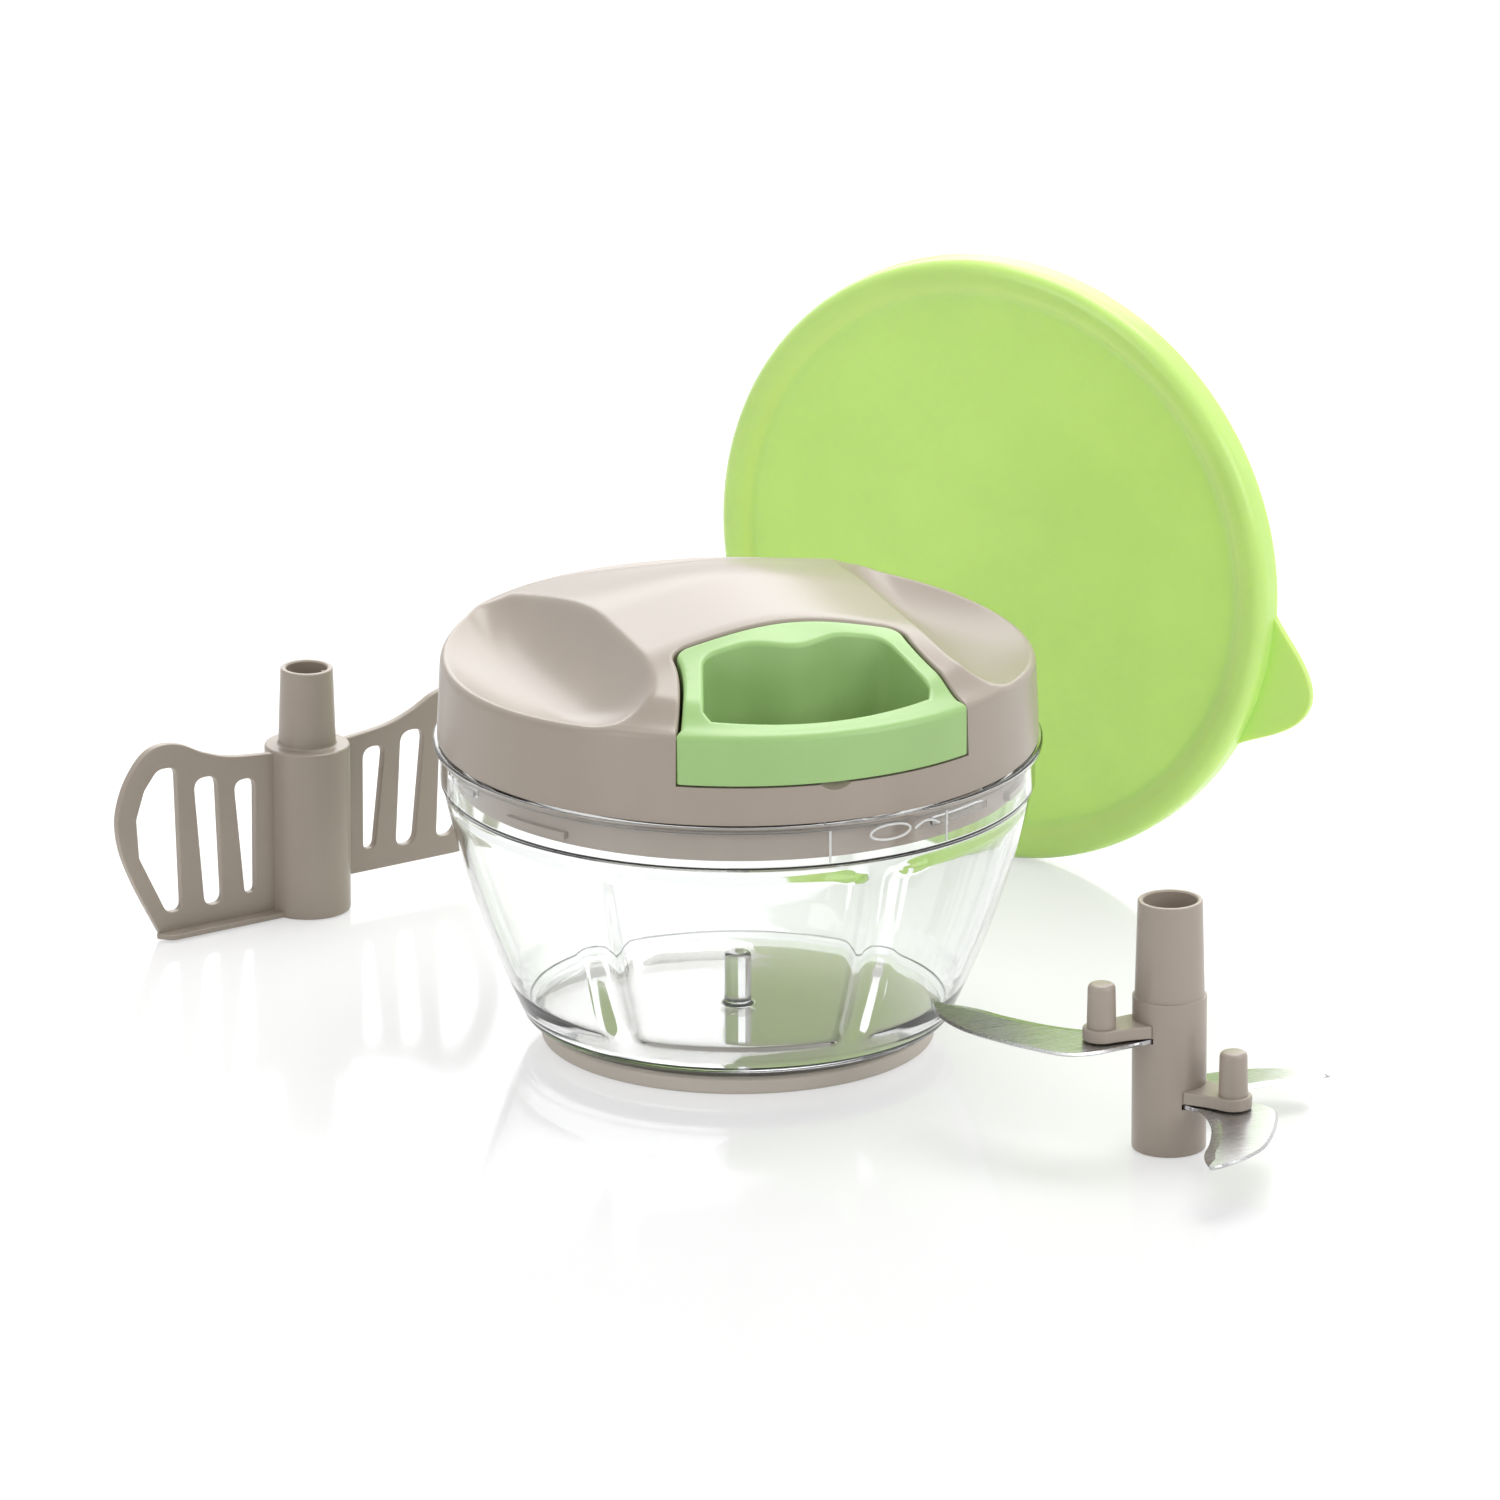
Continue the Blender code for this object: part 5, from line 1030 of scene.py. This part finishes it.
for number, (name, low) in enumerate(zip(("blade_upper", "blade_middle", "blade_lower"), BLADE_HEIGHTS)):
    turn = (BLADE_FIRST_ANGLE + 120 * number) % 360
    scale = (wall_radius(BOWL_FLOOR + FIT_GAP + low) - BOWL_WALL - BLADE_TIP_CLEARANCE) / DRAWN_REACH
    back = [point * scale for point in smooth_path(SWEPT_BACK, 5)]
    front = [point * scale for point in smooth_path(CUTTING_EDGE, 5)]
    root = [Vector((BLADE_ROOT[0], -BLADE_ROOT[1])), Vector(BLADE_ROOT)]
    outline = root + back + front
    shape = bmesh.new()
    rims = []
    for part, inset in GRIND_LEVELS:
        level = low + BLADE_THICKNESS * part
        ring = []
        for index, point in enumerate(outline):
            along = (outline[(index + 1) % len(outline)] - outline[index - 1]).normalized()
            inward = Vector((along.y, -along.x))
            from_hub = eased((point.length - 0.0100) / 0.0060) if index > 1 else 0.0
            from_tip = eased(abs(index - (len(back) + 1.5)) / 7)
            side = BACK_GRIND_SHARE if index < len(back) + 2 else 1.0
            place = point + inward * inset * side * from_hub * from_tip
            ring.append(shape.verts.new((place.x, place.y, level)))
        rims.append([shape.edges.new((ring[i], ring[(i + 1) % len(ring)])) for i in range(len(ring))])
    for first, second in zip(rims, rims[1:]):
        bmesh.ops.bridge_loops(shape, edges=first + second)
    for rim in (rims[0], rims[-1]):
        bmesh.ops.triangle_fill(shape, edges=rim, use_beauty=True)
    bmesh.ops.transform(shape, verts=shape.verts, matrix=BLADE_PLACE @ Matrix.Rotation(radians(turn), 4, "Z"))
    finished(f"{name}_piece", shape, blade_steel, "blade_insert", "blade_steel", name, crease=3)


# The mixing paddle is one taupe moulding: the same kind of hub, and two upright wings with three long
# slots each. One wing reaches down to a flat foot; the other ends a little higher.
PADDLE_HUB_RADIUS = 0.00975
PADDLE_NECK = (0.0394, 0.00660, 0.00600)
PADDLE_PLACE = Matrix.Translation((-0.0640, 0.1151, 0))
PADDLE_ANGLE = 195
BORE_PAST = 0.0022
WING_THICKNESS = 0.0020
WING_TOP = 0.0462
WING_BOTTOMS = (0.0006, 0.0060)
WING_ROUND = 0.00045
SLOT_ROUND = 0.0030
SLOT_CUT = 0.006
FOOT_LOW, FOOT_HIGH = 0.0003, 0.0016
FOOT_WIDTH = 0.0042
FOOT_INNER = 0.0076
WING_CREST = [(0.0070, 0.0386), (0.0205, 0.0400), (0.0281, 0.0423), (0.0340, 0.0452), (0.0390, 0.0462),
              (0.0432, 0.0452), (0.0468, 0.0420), (0.0500, 0.0366), (0.0516, 0.0299), (0.0506, 0.0225),
              (0.0472, 0.0141), (0.0431, 0.0063), (0.0396, 0.0)]
WING_SLOTS = [
    [(0.0146, 0.0062), (0.0176, 0.0062), (0.0204, 0.0340), (0.0146, 0.0340)],
    [(0.0234, 0.0052), (0.0284, 0.0052), (0.0312, 0.0364), (0.0249, 0.0364)],
    [(0.0344, 0.0054), (0.0386, 0.0054), (0.0459, 0.0200), (0.0466, 0.0294), (0.0444, 0.0360),
     (0.0409, 0.0404), (0.0358, 0.0404)],
]


def upright_plate(outline, thickness, turn):
    """Plate of a given side outline, standing on the hub's axis and turned round it."""
    shape = plate_of(outline, -thickness / 2, thickness / 2)
    swing(shape, 90, "X")
    swing(shape, turn, "Z")
    return shape


def edges_rounded(name, mesh, edge, sharper=radians(50)):
    """Loose object from a mesh whose sharp edges are rounded."""
    shape = bmesh.new()
    shape.from_mesh(mesh)
    bmesh.ops.remove_doubles(shape, verts=shape.verts, dist=1e-6)
    bmesh.ops.dissolve_limit(shape, angle_limit=radians(1), verts=shape.verts, edges=shape.edges)
    between_two = [item for item in shape.edges if len(item.link_faces) == 2]
    sharp = [item for item in between_two if item.calc_face_angle(0) > sharper]
    bmesh.ops.bevel(shape, geom=sharp, offset=edge, offset_type="OFFSET", affect="EDGES", segments=3,
                    profile=0.5, material=-1, clamp_overlap=True)
    bmesh.ops.triangulate(shape, faces=[face for face in shape.faces if len(face.verts) > 4])
    return plain(name, shape)


paddle_steps = [(key_rib(HUB_HEIGHT - 0.0014), "UNION")]
for index, bottom in enumerate(WING_BOTTOMS):
    turn = PADDLE_ANGLE + 180 * index
    crest = [(point.x, max(point.y, bottom)) for point in smooth_path(WING_CREST, 8)]
    foot = [(crest[-1][0], bottom), (WING_CREST[0][0], bottom)]
    crest = [point for point in crest if point[1] > bottom] + foot
    wing = plain(f"wing_{index}", upright_plate(crest, WING_THICKNESS, turn))
    cuts = []
    for number, slot in enumerate(WING_SLOTS):
        raised = [(reach, height + bottom * (1 - height / WING_TOP)) for reach, height in slot]
        cutter = upright_plate(softened(raised, SLOT_ROUND, 8), SLOT_CUT, turn)
        cuts.append((plain(f"wing_slot_{index}_{number}", cutter), "DIFFERENCE"))
    wing = edges_rounded(f"wing_{index}_soft", worked(wing, cuts), WING_ROUND)
    paddle_steps.append((wing, "UNION"))
foot_end = WING_CREST[-2][0]
foot_plan = softened([(FOOT_INNER, 0), (foot_end - 0.0008, 0), (foot_end - FOOT_WIDTH, FOOT_WIDTH),
                      (FOOT_INNER, FOOT_WIDTH)], 0.0020, 4)
foot = grown_from("paddle_foot", foot_plan, FOOT_LOW, FOOT_HIGH, PADDLE_ANGLE, 0.0003)
paddle_steps.append((foot, "UNION"))
bore = upright_rod(PIN_BORE, 0, 0, -BORE_PAST, PIN_BORE_DEPTH - 0.0003, steps=64)
paddle_steps.append((plain("paddle_pin_bore", bore), "DIFFERENCE"))
paddle_mesh = worked(hub_form("paddle_form", PADDLE_HUB_RADIUS, *PADDLE_NECK), paddle_steps)
paddle_mesh.transform(PADDLE_PLACE)
paddle_taupe = plastic("paddle_taupe_look", TAUPE, 0.34, grain=0.00002)
settled("paddle_piece", paddle_mesh, paddle_taupe, "paddle", "paddle_taupe", "paddle", crease=40)


# The plate closes the cover from below and plugs the bowl's collar, where it shows through the clear
# wall. It is taupe too, with three lugs that lock under the bowl's, and three screw posts on top.
PLUG_RADIUS, PLUG_INNER = 0.0627, 0.0605
PLUG_LOW = 0.0610
PLATE_TOP = 0.0683
PLATE_LEDGE = 0.0641
PLATE_BORE = 0.0070
LIP_TOP = 0.0715
PLATE_LUG_TOP = 0.0640
PLATE_LUG_THICKNESS = 0.0016
PLATE_LUG_ANGLES = (86.7, 206.7, 326.7)
LEDGE_THICKNESS = 0.0011
plate_profile = softened([
    (PLATE_BORE, PLATE_UNDERSIDE), (PLUG_INNER, PLATE_UNDERSIDE), (PLUG_INNER, PLUG_LOW),
    (PLUG_RADIUS, PLUG_LOW), (PLUG_RADIUS, PLATE_TOP - LEDGE_THICKNESS),
    (PLATE_LEDGE, PLATE_TOP - LEDGE_THICKNESS), (PLATE_LEDGE, PLATE_TOP),
    (PLUG_RADIUS, PLATE_TOP), (PLUG_RADIUS, LIP_TOP), (PLUG_INNER, LIP_TOP), (PLUG_INNER, PLATE_TOP),
    (PLATE_BORE, PLATE_TOP),
], 0.0003, 3)
plate_form = plain("plate_form", turned(plate_profile, 200))
plate_steps = []
for angle in PLATE_LUG_ANGLES:
    lug = arc(PLUG_RADIUS - 0.0011, angle - LUG_HALF, angle + LUG_HALF, 12)
    lug += arc(PLATE_LEDGE, angle + LUG_HALF, angle - LUG_HALF, 12)
    shape = plate_of(lug, PLATE_LUG_TOP - PLATE_LUG_THICKNESS, PLATE_LUG_TOP)
    plate_steps.append((plain("plate_lug", shape), "UNION"))
posts, holes = bmesh.new(), bmesh.new()
for x, y in SCREW_PLACES:
    upright_rod(BOSS_RADIUS, x, y, PLATE_TOP - 0.0012, SKIRT_LOW - FIT_GAP, posts)
    upright_rod(SCREW_BORE, x, y, PLATE_UNDERSIDE - BORE_PAST, SKIRT_LOW + BORE_PAST, holes, 24)
plate_steps += [(plain("plate_posts", posts), "UNION"), (plain("plate_holes", holes), "DIFFERENCE")]
plate_taupe = plastic("plate_taupe_look", TAUPE, 0.40)
settled("plug_plate", worked(plate_form, plate_steps), plate_taupe, "cover", "plate_taupe", "cover_plate",
        crease=40)


# A grey silicone ring sits on the plate's ledge and closes the gap to the bowl's collar.
SEAL_GREY = (0.36, 0.36, 0.35)
silicone = plastic("silicone_look", SEAL_GREY, 0.55, grain=0.00001)
seal_low, seal_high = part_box("cover_seal")
seal_inner = PLUG_RADIUS + FIT_GAP
seal_profile = softened([(seal_inner, seal_low.z), (seal_high.x, seal_low.z), (seal_high.x, seal_high.z),
                         (seal_inner, seal_high.z)], 0.0005, 4)
finished("collar_seal", turned(seal_profile, 200), silicone, "seal", "silicone_grey", "cover_seal")


# Zinc-plated pan-head screws with a cross recess hold the plate to the cover, and smaller ones hold the
# spring cup by its two ears.
bright_steel, tree, bright_shader = new_look("bright_steel_look")
set_inputs(bright_shader, Metallic=1.0)
turning = noise(tree, 1500.0, 3.0)
two_tone(tree, turning, (0.52, 0.52, 0.53), (0.68, 0.68, 0.69), bright_shader)
varied_gloss(tree, turning, 0.22, 0.38, bright_shader)


def screw_piece(name, node, x, y, shank):
    """Pan-head screw, head down, in the place of its solid."""
    low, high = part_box(node)
    head_radius, head_height, head_dome, radius = 0.0028, 0.0016, 0.0009, 0.0014
    pitch, thread_depth = 0.0006, 0.00025
    cross_reach, cross_half = 0.0015, 0.00035
    head_top = low.z + head_height
    profile = [(0, low.z)]
    for turn in range(15, 91, 15):
        profile.append((head_radius * sin(radians(turn)), low.z + head_dome * (1 - cos(radians(turn)))))
    profile += [(head_radius, head_top), (radius, head_top)]
    threads = int((shank - 0.0020) / pitch)
    for thread in range(threads):
        height = head_top + 0.0008 + pitch * thread
        profile += [(radius - thread_depth, height), (radius, height + 0.0003)]
    profile += [(radius - 0.0002, high.z - 0.0010), (0, high.z)]
    screw = turned(profile, 24, closed=False)
    cross = []
    for quarter in range(4):
        spin = Matrix.Rotation(radians(90 * quarter), 2)
        slot = [(cross_reach, -cross_half), (cross_reach, cross_half), (cross_half, cross_half)]
        cross += [tuple(spin @ Vector(point)) for point in slot]
    recess = plate_of(cross, low.z - 0.0005, low.z + head_dome)
    mesh = worked(plain(f"{name}_form", screw), [(plain(f"{name}_recess", recess), "DIFFERENCE")])
    mesh.transform(Matrix.Translation((x, y, 0)))
    return settled(name, mesh, bright_steel, "cover", "screw_steel", node)


PLATE_SCREW_SHANK, CUP_SCREW_SHANK = 0.0140, 0.0044
for index, (x, y) in enumerate(SCREW_PLACES):
    screw_piece(f"cover_screw_{index + 1}", f"plate_screw_{index + 1}", x, y, PLATE_SCREW_SHANK)
for index, (x, y) in enumerate(EAR_PLACES):
    screw_piece(f"ear_screw_{index + 1}", f"cup_screw_{index + 1}", x, y, CUP_SCREW_SHANK)


# The spool turns on a ground steel pin in the cover's boss. Its drum takes the cord between two
# flanges; the arbor above it holds the spring's inner end, and the stem below drives the shaft.
inner_plastic = plastic("inner_plastic_look", (0.72, 0.72, 0.69), 0.42)
DRUM_RADIUS = 0.0135
FLANGE_RADIUS = 0.0240
DRUM_LOW, DRUM_HIGH = 0.0803, 0.0863
FLANGE_THICKNESS = 0.0016
STEM_RADIUS, STEM_LOW = 0.0075, 0.0721
ARBOR_RADIUS, ARBOR_TOP = 0.0050, 0.0937
SHAFT_BORE = 0.0043
SHAFT_SEAT = DRUM_LOW + FIT_GAP
spool_profile = [(0, SHAFT_SEAT)] + softened([
    (SHAFT_BORE, SHAFT_SEAT), (SHAFT_BORE, STEM_LOW), (STEM_RADIUS, STEM_LOW),
    (STEM_RADIUS, DRUM_LOW - FLANGE_THICKNESS), (FLANGE_RADIUS, DRUM_LOW - FLANGE_THICKNESS),
    (FLANGE_RADIUS, DRUM_LOW), (DRUM_RADIUS, DRUM_LOW), (DRUM_RADIUS, DRUM_HIGH), (FLANGE_RADIUS, DRUM_HIGH),
    (FLANGE_RADIUS, DRUM_HIGH + FLANGE_THICKNESS), (ARBOR_RADIUS, DRUM_HIGH + FLANGE_THICKNESS),
    (ARBOR_RADIUS, ARBOR_TOP), (AXLE_BORE, ARBOR_TOP), (AXLE_BORE, CORD_HEIGHT),
], 0.0004, 3)[4:-4] + [(AXLE_BORE, CORD_HEIGHT), (0, CORD_HEIGHT)]
finished("cord_spool", turned(spool_profile, 120, closed=False), inner_plastic, "spool", "spool_plastic",
         "spool")

axle_low, axle_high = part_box("axle_pin")
AXLE_RADIUS, AXLE_END_RADIUS = 0.0021, 0.0018
AXLE_CHAMFER = 0.0003
axle_profile = [(0, axle_low.z), (AXLE_END_RADIUS, axle_low.z), (AXLE_RADIUS, axle_low.z + AXLE_CHAMFER),
                (AXLE_RADIUS, axle_high.z - AXLE_CHAMFER), (AXLE_END_RADIUS, axle_high.z), (0, axle_high.z)]
finished("spool_axle", turned(axle_profile, 48, closed=False), bright_steel, "cover", "axle_steel",
         "axle_pin")

washer_low, washer_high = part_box("axle_washer")
washer_profile = softened([(AXLE_BORE, washer_low.z), (ARBOR_RADIUS, washer_low.z),
                           (ARBOR_RADIUS, washer_high.z), (AXLE_BORE, washer_high.z)], 0.00015, 2)
finished("thrust_washer", turned(washer_profile, 64), bright_steel, "spool", "washer_steel", "axle_washer")


# The drive shaft runs down through a brass sleeve and a rubber ring in the plate, and ends below it in
# the keyed coupler that turns an insert.
COUPLER_LOW, COUPLER_TOP = 0.0536, 0.0656
COUPLER_RADIUS, SHAFT_RADIUS = 0.0044, 0.0040
GROOVE_FLOOR, GROOVE_OUTER, GROOVE_HALF = 0.0027, 0.0066, 0.0011
shaft_profile = [
    (0, COUPLER_LOW), (COUPLER_RADIUS - 0.0008, COUPLER_LOW),
    (COUPLER_RADIUS - 0.0003, COUPLER_LOW + 0.0003), (COUPLER_RADIUS, COUPLER_LOW + 0.0009),
    (COUPLER_RADIUS, COUPLER_TOP - 0.0002), (COUPLER_RADIUS - 0.0002, COUPLER_TOP),
    (SHAFT_RADIUS, COUPLER_TOP), (SHAFT_RADIUS, DRUM_LOW), (0, DRUM_LOW),
]
groove_plan = [(GROOVE_FLOOR, -GROOVE_HALF), (GROOVE_OUTER, -GROOVE_HALF), (GROOVE_OUTER, GROOVE_HALF),
               (GROOVE_FLOOR, GROOVE_HALF)]
groove = plain("coupler_groove", plate_of(groove_plan, COUPLER_LOW - BORE_PAST, COUPLER_TOP - 0.0014))
shaft_form = plain("shaft_form", turned(shaft_profile, 96, closed=False))
shaft_mesh = worked(shaft_form, [(groove, "DIFFERENCE")])
shaft_taupe = plastic("shaft_taupe_look", TAUPE, 0.38)
settled("coupler_shaft", shaft_mesh, shaft_taupe, "spool", "shaft_taupe", "drive_shaft", crease=40)

brass, tree, brass_shader = new_look("turned_brass_look")
set_inputs(brass_shader, Metallic=1.0, Roughness=0.28)
where = tree.nodes.new("ShaderNodeTexCoord")
lathe = added(tree, "TexWave", Scale=900.0, Distortion=1.5)
lathe.wave_type = "RINGS"
lathe.rings_direction = "Z"
tree.links.new(where.outputs["Object"], lathe.inputs["Vector"])
two_tone(tree, lathe.outputs["Fac"], (0.62, 0.45, 0.18), (0.74, 0.57, 0.27), brass_shader)
bumped(tree, lathe.outputs["Fac"], 0.00001, 1.0, brass_shader)
SLEEVE_RADIUS, SLEEVE_FLANGE = 0.0067, 0.0092
SLEEVE_FLANGE_LOW, SLEEVE_TOP = 0.0686, 0.0700
SHAFT_RING_LOW, SHAFT_RING_HIGH = 0.0703, 0.0718
bushing_profile = softened([
    (SHAFT_BORE, PLATE_UNDERSIDE), (SLEEVE_RADIUS, PLATE_UNDERSIDE), (SLEEVE_RADIUS, SLEEVE_FLANGE_LOW),
    (SLEEVE_FLANGE, SLEEVE_FLANGE_LOW), (SLEEVE_FLANGE, SLEEVE_TOP), (SHAFT_BORE, SLEEVE_TOP),
], 0.0003, 3)
finished("shaft_sleeve", turned(bushing_profile, 96), brass, "cover", "bushing_brass", "shaft_bushing")
ring_profile = softened([(SHAFT_BORE, SHAFT_RING_LOW), (SLEEVE_RADIUS, SHAFT_RING_LOW),
                         (SLEEVE_RADIUS, SHAFT_RING_HIGH), (SHAFT_BORE, SHAFT_RING_HIGH)], 0.0004, 4)
finished("shaft_ring", turned(ring_profile, 96), silicone, "cover", "seal_rubber", "shaft_seal")


# The recoil spring is a flat steel strip wound in a spiral from the arbor out to the wall of its cup,
# which is a plain moulding screwed under the cover by two ears.
SPRING_LOW, SPRING_HIGH = 0.0889, 0.0933
SPRING_INNER, SPRING_OUTER = 0.0053, 0.0220
SPRING_TURNS = 5
SPRING_THICKNESS = 0.0005
CUP_LOW, CUP_CEILING = 0.0886, 0.0952
CUP_WALL = 0.0012
EAR_RADIUS = 0.0040
STEPS_A_TURN = 60
spring_shape = bmesh.new()
corners = [(SPRING_INNER, SPRING_LOW), (SPRING_INNER + SPRING_THICKNESS, SPRING_LOW),
           (SPRING_INNER + SPRING_THICKNESS, SPRING_HIGH), (SPRING_INNER, SPRING_HIGH)]
strip_end = [spring_shape.verts.new((radius, 0, height)) for radius, height in corners]
strip_face = spring_shape.faces.new(strip_end)
spring_steps = SPRING_TURNS * STEPS_A_TURN
for step in range(spring_steps):
    grown = bmesh.ops.extrude_face_region(spring_shape, geom=[strip_face])["geom"]
    moving = [item for item in grown if isinstance(item, bmesh.types.BMVert)]
    if step:
        bmesh.ops.delete(spring_shape, geom=[strip_face], context="FACES_ONLY")
    strip_face = [item for item in grown if isinstance(item, bmesh.types.BMFace)][0]
    turn = 2 * pi * step / STEPS_A_TURN
    outward = Vector((cos(turn), sin(turn), 0)) * (SPRING_OUTER - SPRING_INNER) / spring_steps
    bmesh.ops.translate(spring_shape, verts=moving, vec=outward)
    bmesh.ops.rotate(spring_shape, verts=moving, cent=(0, 0, 0),
                     matrix=Matrix.Rotation(2 * pi / STEPS_A_TURN, 3, "Z"))
finished("spiral_spring", spring_shape, bright_steel, "cover", "spring_steel", "recoil_spring")

cup_profile = softened([
    (AXLE_BORE, CUP_CEILING), (FLANGE_RADIUS - CUP_WALL, CUP_CEILING), (FLANGE_RADIUS - CUP_WALL, CUP_LOW),
    (FLANGE_RADIUS, CUP_LOW), (FLANGE_RADIUS, CUP_TOP), (AXLE_BORE, CUP_TOP),
], 0.0004, 3)
ears, ear_holes = bmesh.new(), bmesh.new()
for x, y in EAR_PLACES:
    upright_rod(EAR_RADIUS, x, y, CUP_CEILING, CUP_TOP, ears, 48)
    upright_rod(SCREW_BORE, x, y, CUP_CEILING - BORE_PAST, CUP_TOP + BORE_PAST, ear_holes, 24)
cup_mesh = worked(plain("cup_form", turned(cup_profile, 120)),
                  [(plain("cup_ears", ears), "UNION"), (plain("ear_holes", ear_holes), "DIFFERENCE")])
settled("spring_housing", cup_mesh, inner_plastic, "cover", "inner_plastic", "spring_cup")


# The cord is braided white polyester, 1.2 mm thick. It is wound on the drum, leaves it at the side,
# runs out through a polished steel eyelet, and is crimped in a steel stop inside the handle.
CORD_RADIUS = 0.0006
CORD_RING = 0.0163
EYELET_BACK = -0.0286
EYELET_FRONT = -0.0321
KNOT_FRONT = -0.0403
KNOT_LENGTH = 0.0030
CORD_END = 0.0012


def braid(name, along_x):
    """Braid of a thin cord; along_x runs it round the drum, and otherwise along the handle's pull."""
    look, tree, shader = new_look(name)
    set_inputs(shader, Roughness=0.78, Sheen_Weight=0.2)
    where = tree.nodes.new("ShaderNodeTexCoord")
    middle = added(tree, "Mapping", Location=(0, 0, -CORD_HEIGHT))
    split = tree.nodes.new("ShaderNodeSeparateXYZ")
    tree.links.new(where.outputs["Object"], middle.inputs["Vector"])
    tree.links.new(middle.outputs["Vector"], split.inputs["Vector"])
    side, height = split.outputs["Y" if along_x else "Z"], split.outputs["X"]
    round_it = reckoned(tree, "ARCTAN2", side, height)
    if along_x:
        lengthwise, lengthwise_waves = round_it, 74.0
        crosswise, crosswise_waves = split.outputs["Z"], 5200.0
    else:
        lengthwise, lengthwise_waves = split.outputs["Y"], 5200.0
        crosswise, crosswise_waves = round_it, 4.0
    waves = []
    for sign in (1, -1):
        across = reckoned(tree, "MULTIPLY", crosswise, crosswise_waves * sign)
        total = tree.nodes.new("ShaderNodeMath")
        total.operation = "MULTIPLY_ADD"
        total.inputs[1].default_value = lengthwise_waves
        tree.links.new(lengthwise, total.inputs[0])
        tree.links.new(across, total.inputs[2])
        wave = tree.nodes.new("ShaderNodeMath")
        wave.operation = "SINE"
        tree.links.new(total.outputs[0], wave.inputs[0])
        waves.append(wave.outputs[0])
    woven = reckoned(tree, "MAXIMUM", *waves)
    shade = added(tree, "MapRange", From_Min=-1.0, To_Min=0.0)
    tree.links.new(woven, shade.inputs["Value"])
    # The braid is grey between its strands and near white on them: painted shade in the grooves of the weave,
    # laid over the bump that raises the strands.
    two_tone(tree, shade.outputs["Result"], (0.52, 0.51, 0.48), (0.80, 0.80, 0.77), shader)
    bumped(tree, shade.outputs["Result"], 0.00008, 1.0, shader)
    return look


def cord_mesh(name, points):
    """Round cord of the right thickness along a list of points."""
    line = bpy.data.curves.new(name, "CURVE")
    line.dimensions = "3D"
    line.bevel_depth = CORD_RADIUS
    line.bevel_resolution = 3
    line.use_fill_caps = True
    run = line.splines.new("POLY")
    run.points.add(len(points) - 1)
    for item, point in zip(run.points, points):
        item.co = (*point, 1.0)
    loose = bpy.data.objects.new(name, line)
    scene.collection.objects.link(loose)
    mesh = mesh_of(loose)
    bpy.data.objects.remove(loose)
    return mesh


leave_turn = radians(-90) + acos(CORD_RING / -(EYELET_BACK + CORD_END))
leave = Vector((CORD_RING * cos(leave_turn), CORD_RING * sin(leave_turn), CORD_HEIGHT))
enter = Vector((0, EYELET_BACK, CORD_HEIGHT))
route = smooth_path([leave, leave.lerp(enter, 0.4), leave.lerp(enter, 0.80) + Vector((0.0002, 0, 0)), enter,
                     Vector((0, EYELET_FRONT, CORD_HEIGHT)),
                     Vector((0, KNOT_FRONT + CORD_END, CORD_HEIGHT))], 14)
pull_cord = settled("braided_cord", cord_mesh("braided_cord", route), braid("braid_look", False), None,
                    "cord_white", "pull_cord")
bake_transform(pull_cord)

LAYER_TURNS = 3
BACK_TURNS = 1.25
FIRST_LAYER = DRUM_RADIUS + FIT_GAP + CORD_RADIUS
layer_rise = DRUM_HIGH - DRUM_LOW - 2 * FIT_GAP - 2 * CORD_RADIUS
winding = []
for step in range(LAYER_TURNS * STEPS_A_TURN + 1):
    share = step / (LAYER_TURNS * STEPS_A_TURN)
    turn = leave_turn - 2 * pi * (BACK_TURNS + LAYER_TURNS * (1 - share))
    height = DRUM_LOW + FIT_GAP + CORD_RADIUS + layer_rise * share
    winding.append((FIRST_LAYER * cos(turn), FIRST_LAYER * sin(turn), height))
top_turn = DRUM_HIGH - FIT_GAP - CORD_RADIUS
for step in range(1, 76):
    share = step / 75
    turn = leave_turn - 2 * pi * BACK_TURNS * (1 - share)
    radius = FIRST_LAYER + (CORD_RING - FIRST_LAYER) * eased(share / 0.3)
    height = top_turn + (CORD_HEIGHT - top_turn) * eased(share)
    winding.append((radius * cos(turn), radius * sin(turn), height))
settled("wound_cord", cord_mesh("wound_cord", winding), braid("wound_braid_look", True), "spool",
        "winding_white", "cord_winding")

eyelet_profile = softened([
    (0.0010, 0.0), (0.0020, 0.0), (0.0020, 0.0023), (0.0032, 0.0023), (0.0032, 0.0035), (0.0010, 0.0035),
], 0.0005, 5)
eyelet_shape = turned(eyelet_profile, 64)
swing(eyelet_shape, -90, "X")
bmesh.ops.translate(eyelet_shape, verts=eyelet_shape.verts, vec=(0, EYELET_FRONT, CORD_HEIGHT))
finished("steel_eyelet", eyelet_shape, bright_steel, "cover", "eyelet_steel", "cord_eyelet")

crimp_profile = [(0, 0), (KNOT_RADIUS - 0.0003, 0), (KNOT_RADIUS, 0.0003), (KNOT_RADIUS, 0.0008),
                 (KNOT_RADIUS - 0.0004, 0.0011), (KNOT_RADIUS - 0.0004, 0.0019), (KNOT_RADIUS, 0.0022),
                 (KNOT_RADIUS, KNOT_LENGTH - 0.0003), (KNOT_RADIUS - 0.0003, KNOT_LENGTH), (0, KNOT_LENGTH)]
crimp_shape = turned(crimp_profile, 48, closed=False)
swing(crimp_shape, -90, "X")
bmesh.ops.translate(crimp_shape, verts=crimp_shape.verts, vec=(0, KNOT_FRONT, CORD_HEIGHT))
finished("crimped_stop", crimp_shape, bright_steel, "handle", "knot_steel", "cord_knot")
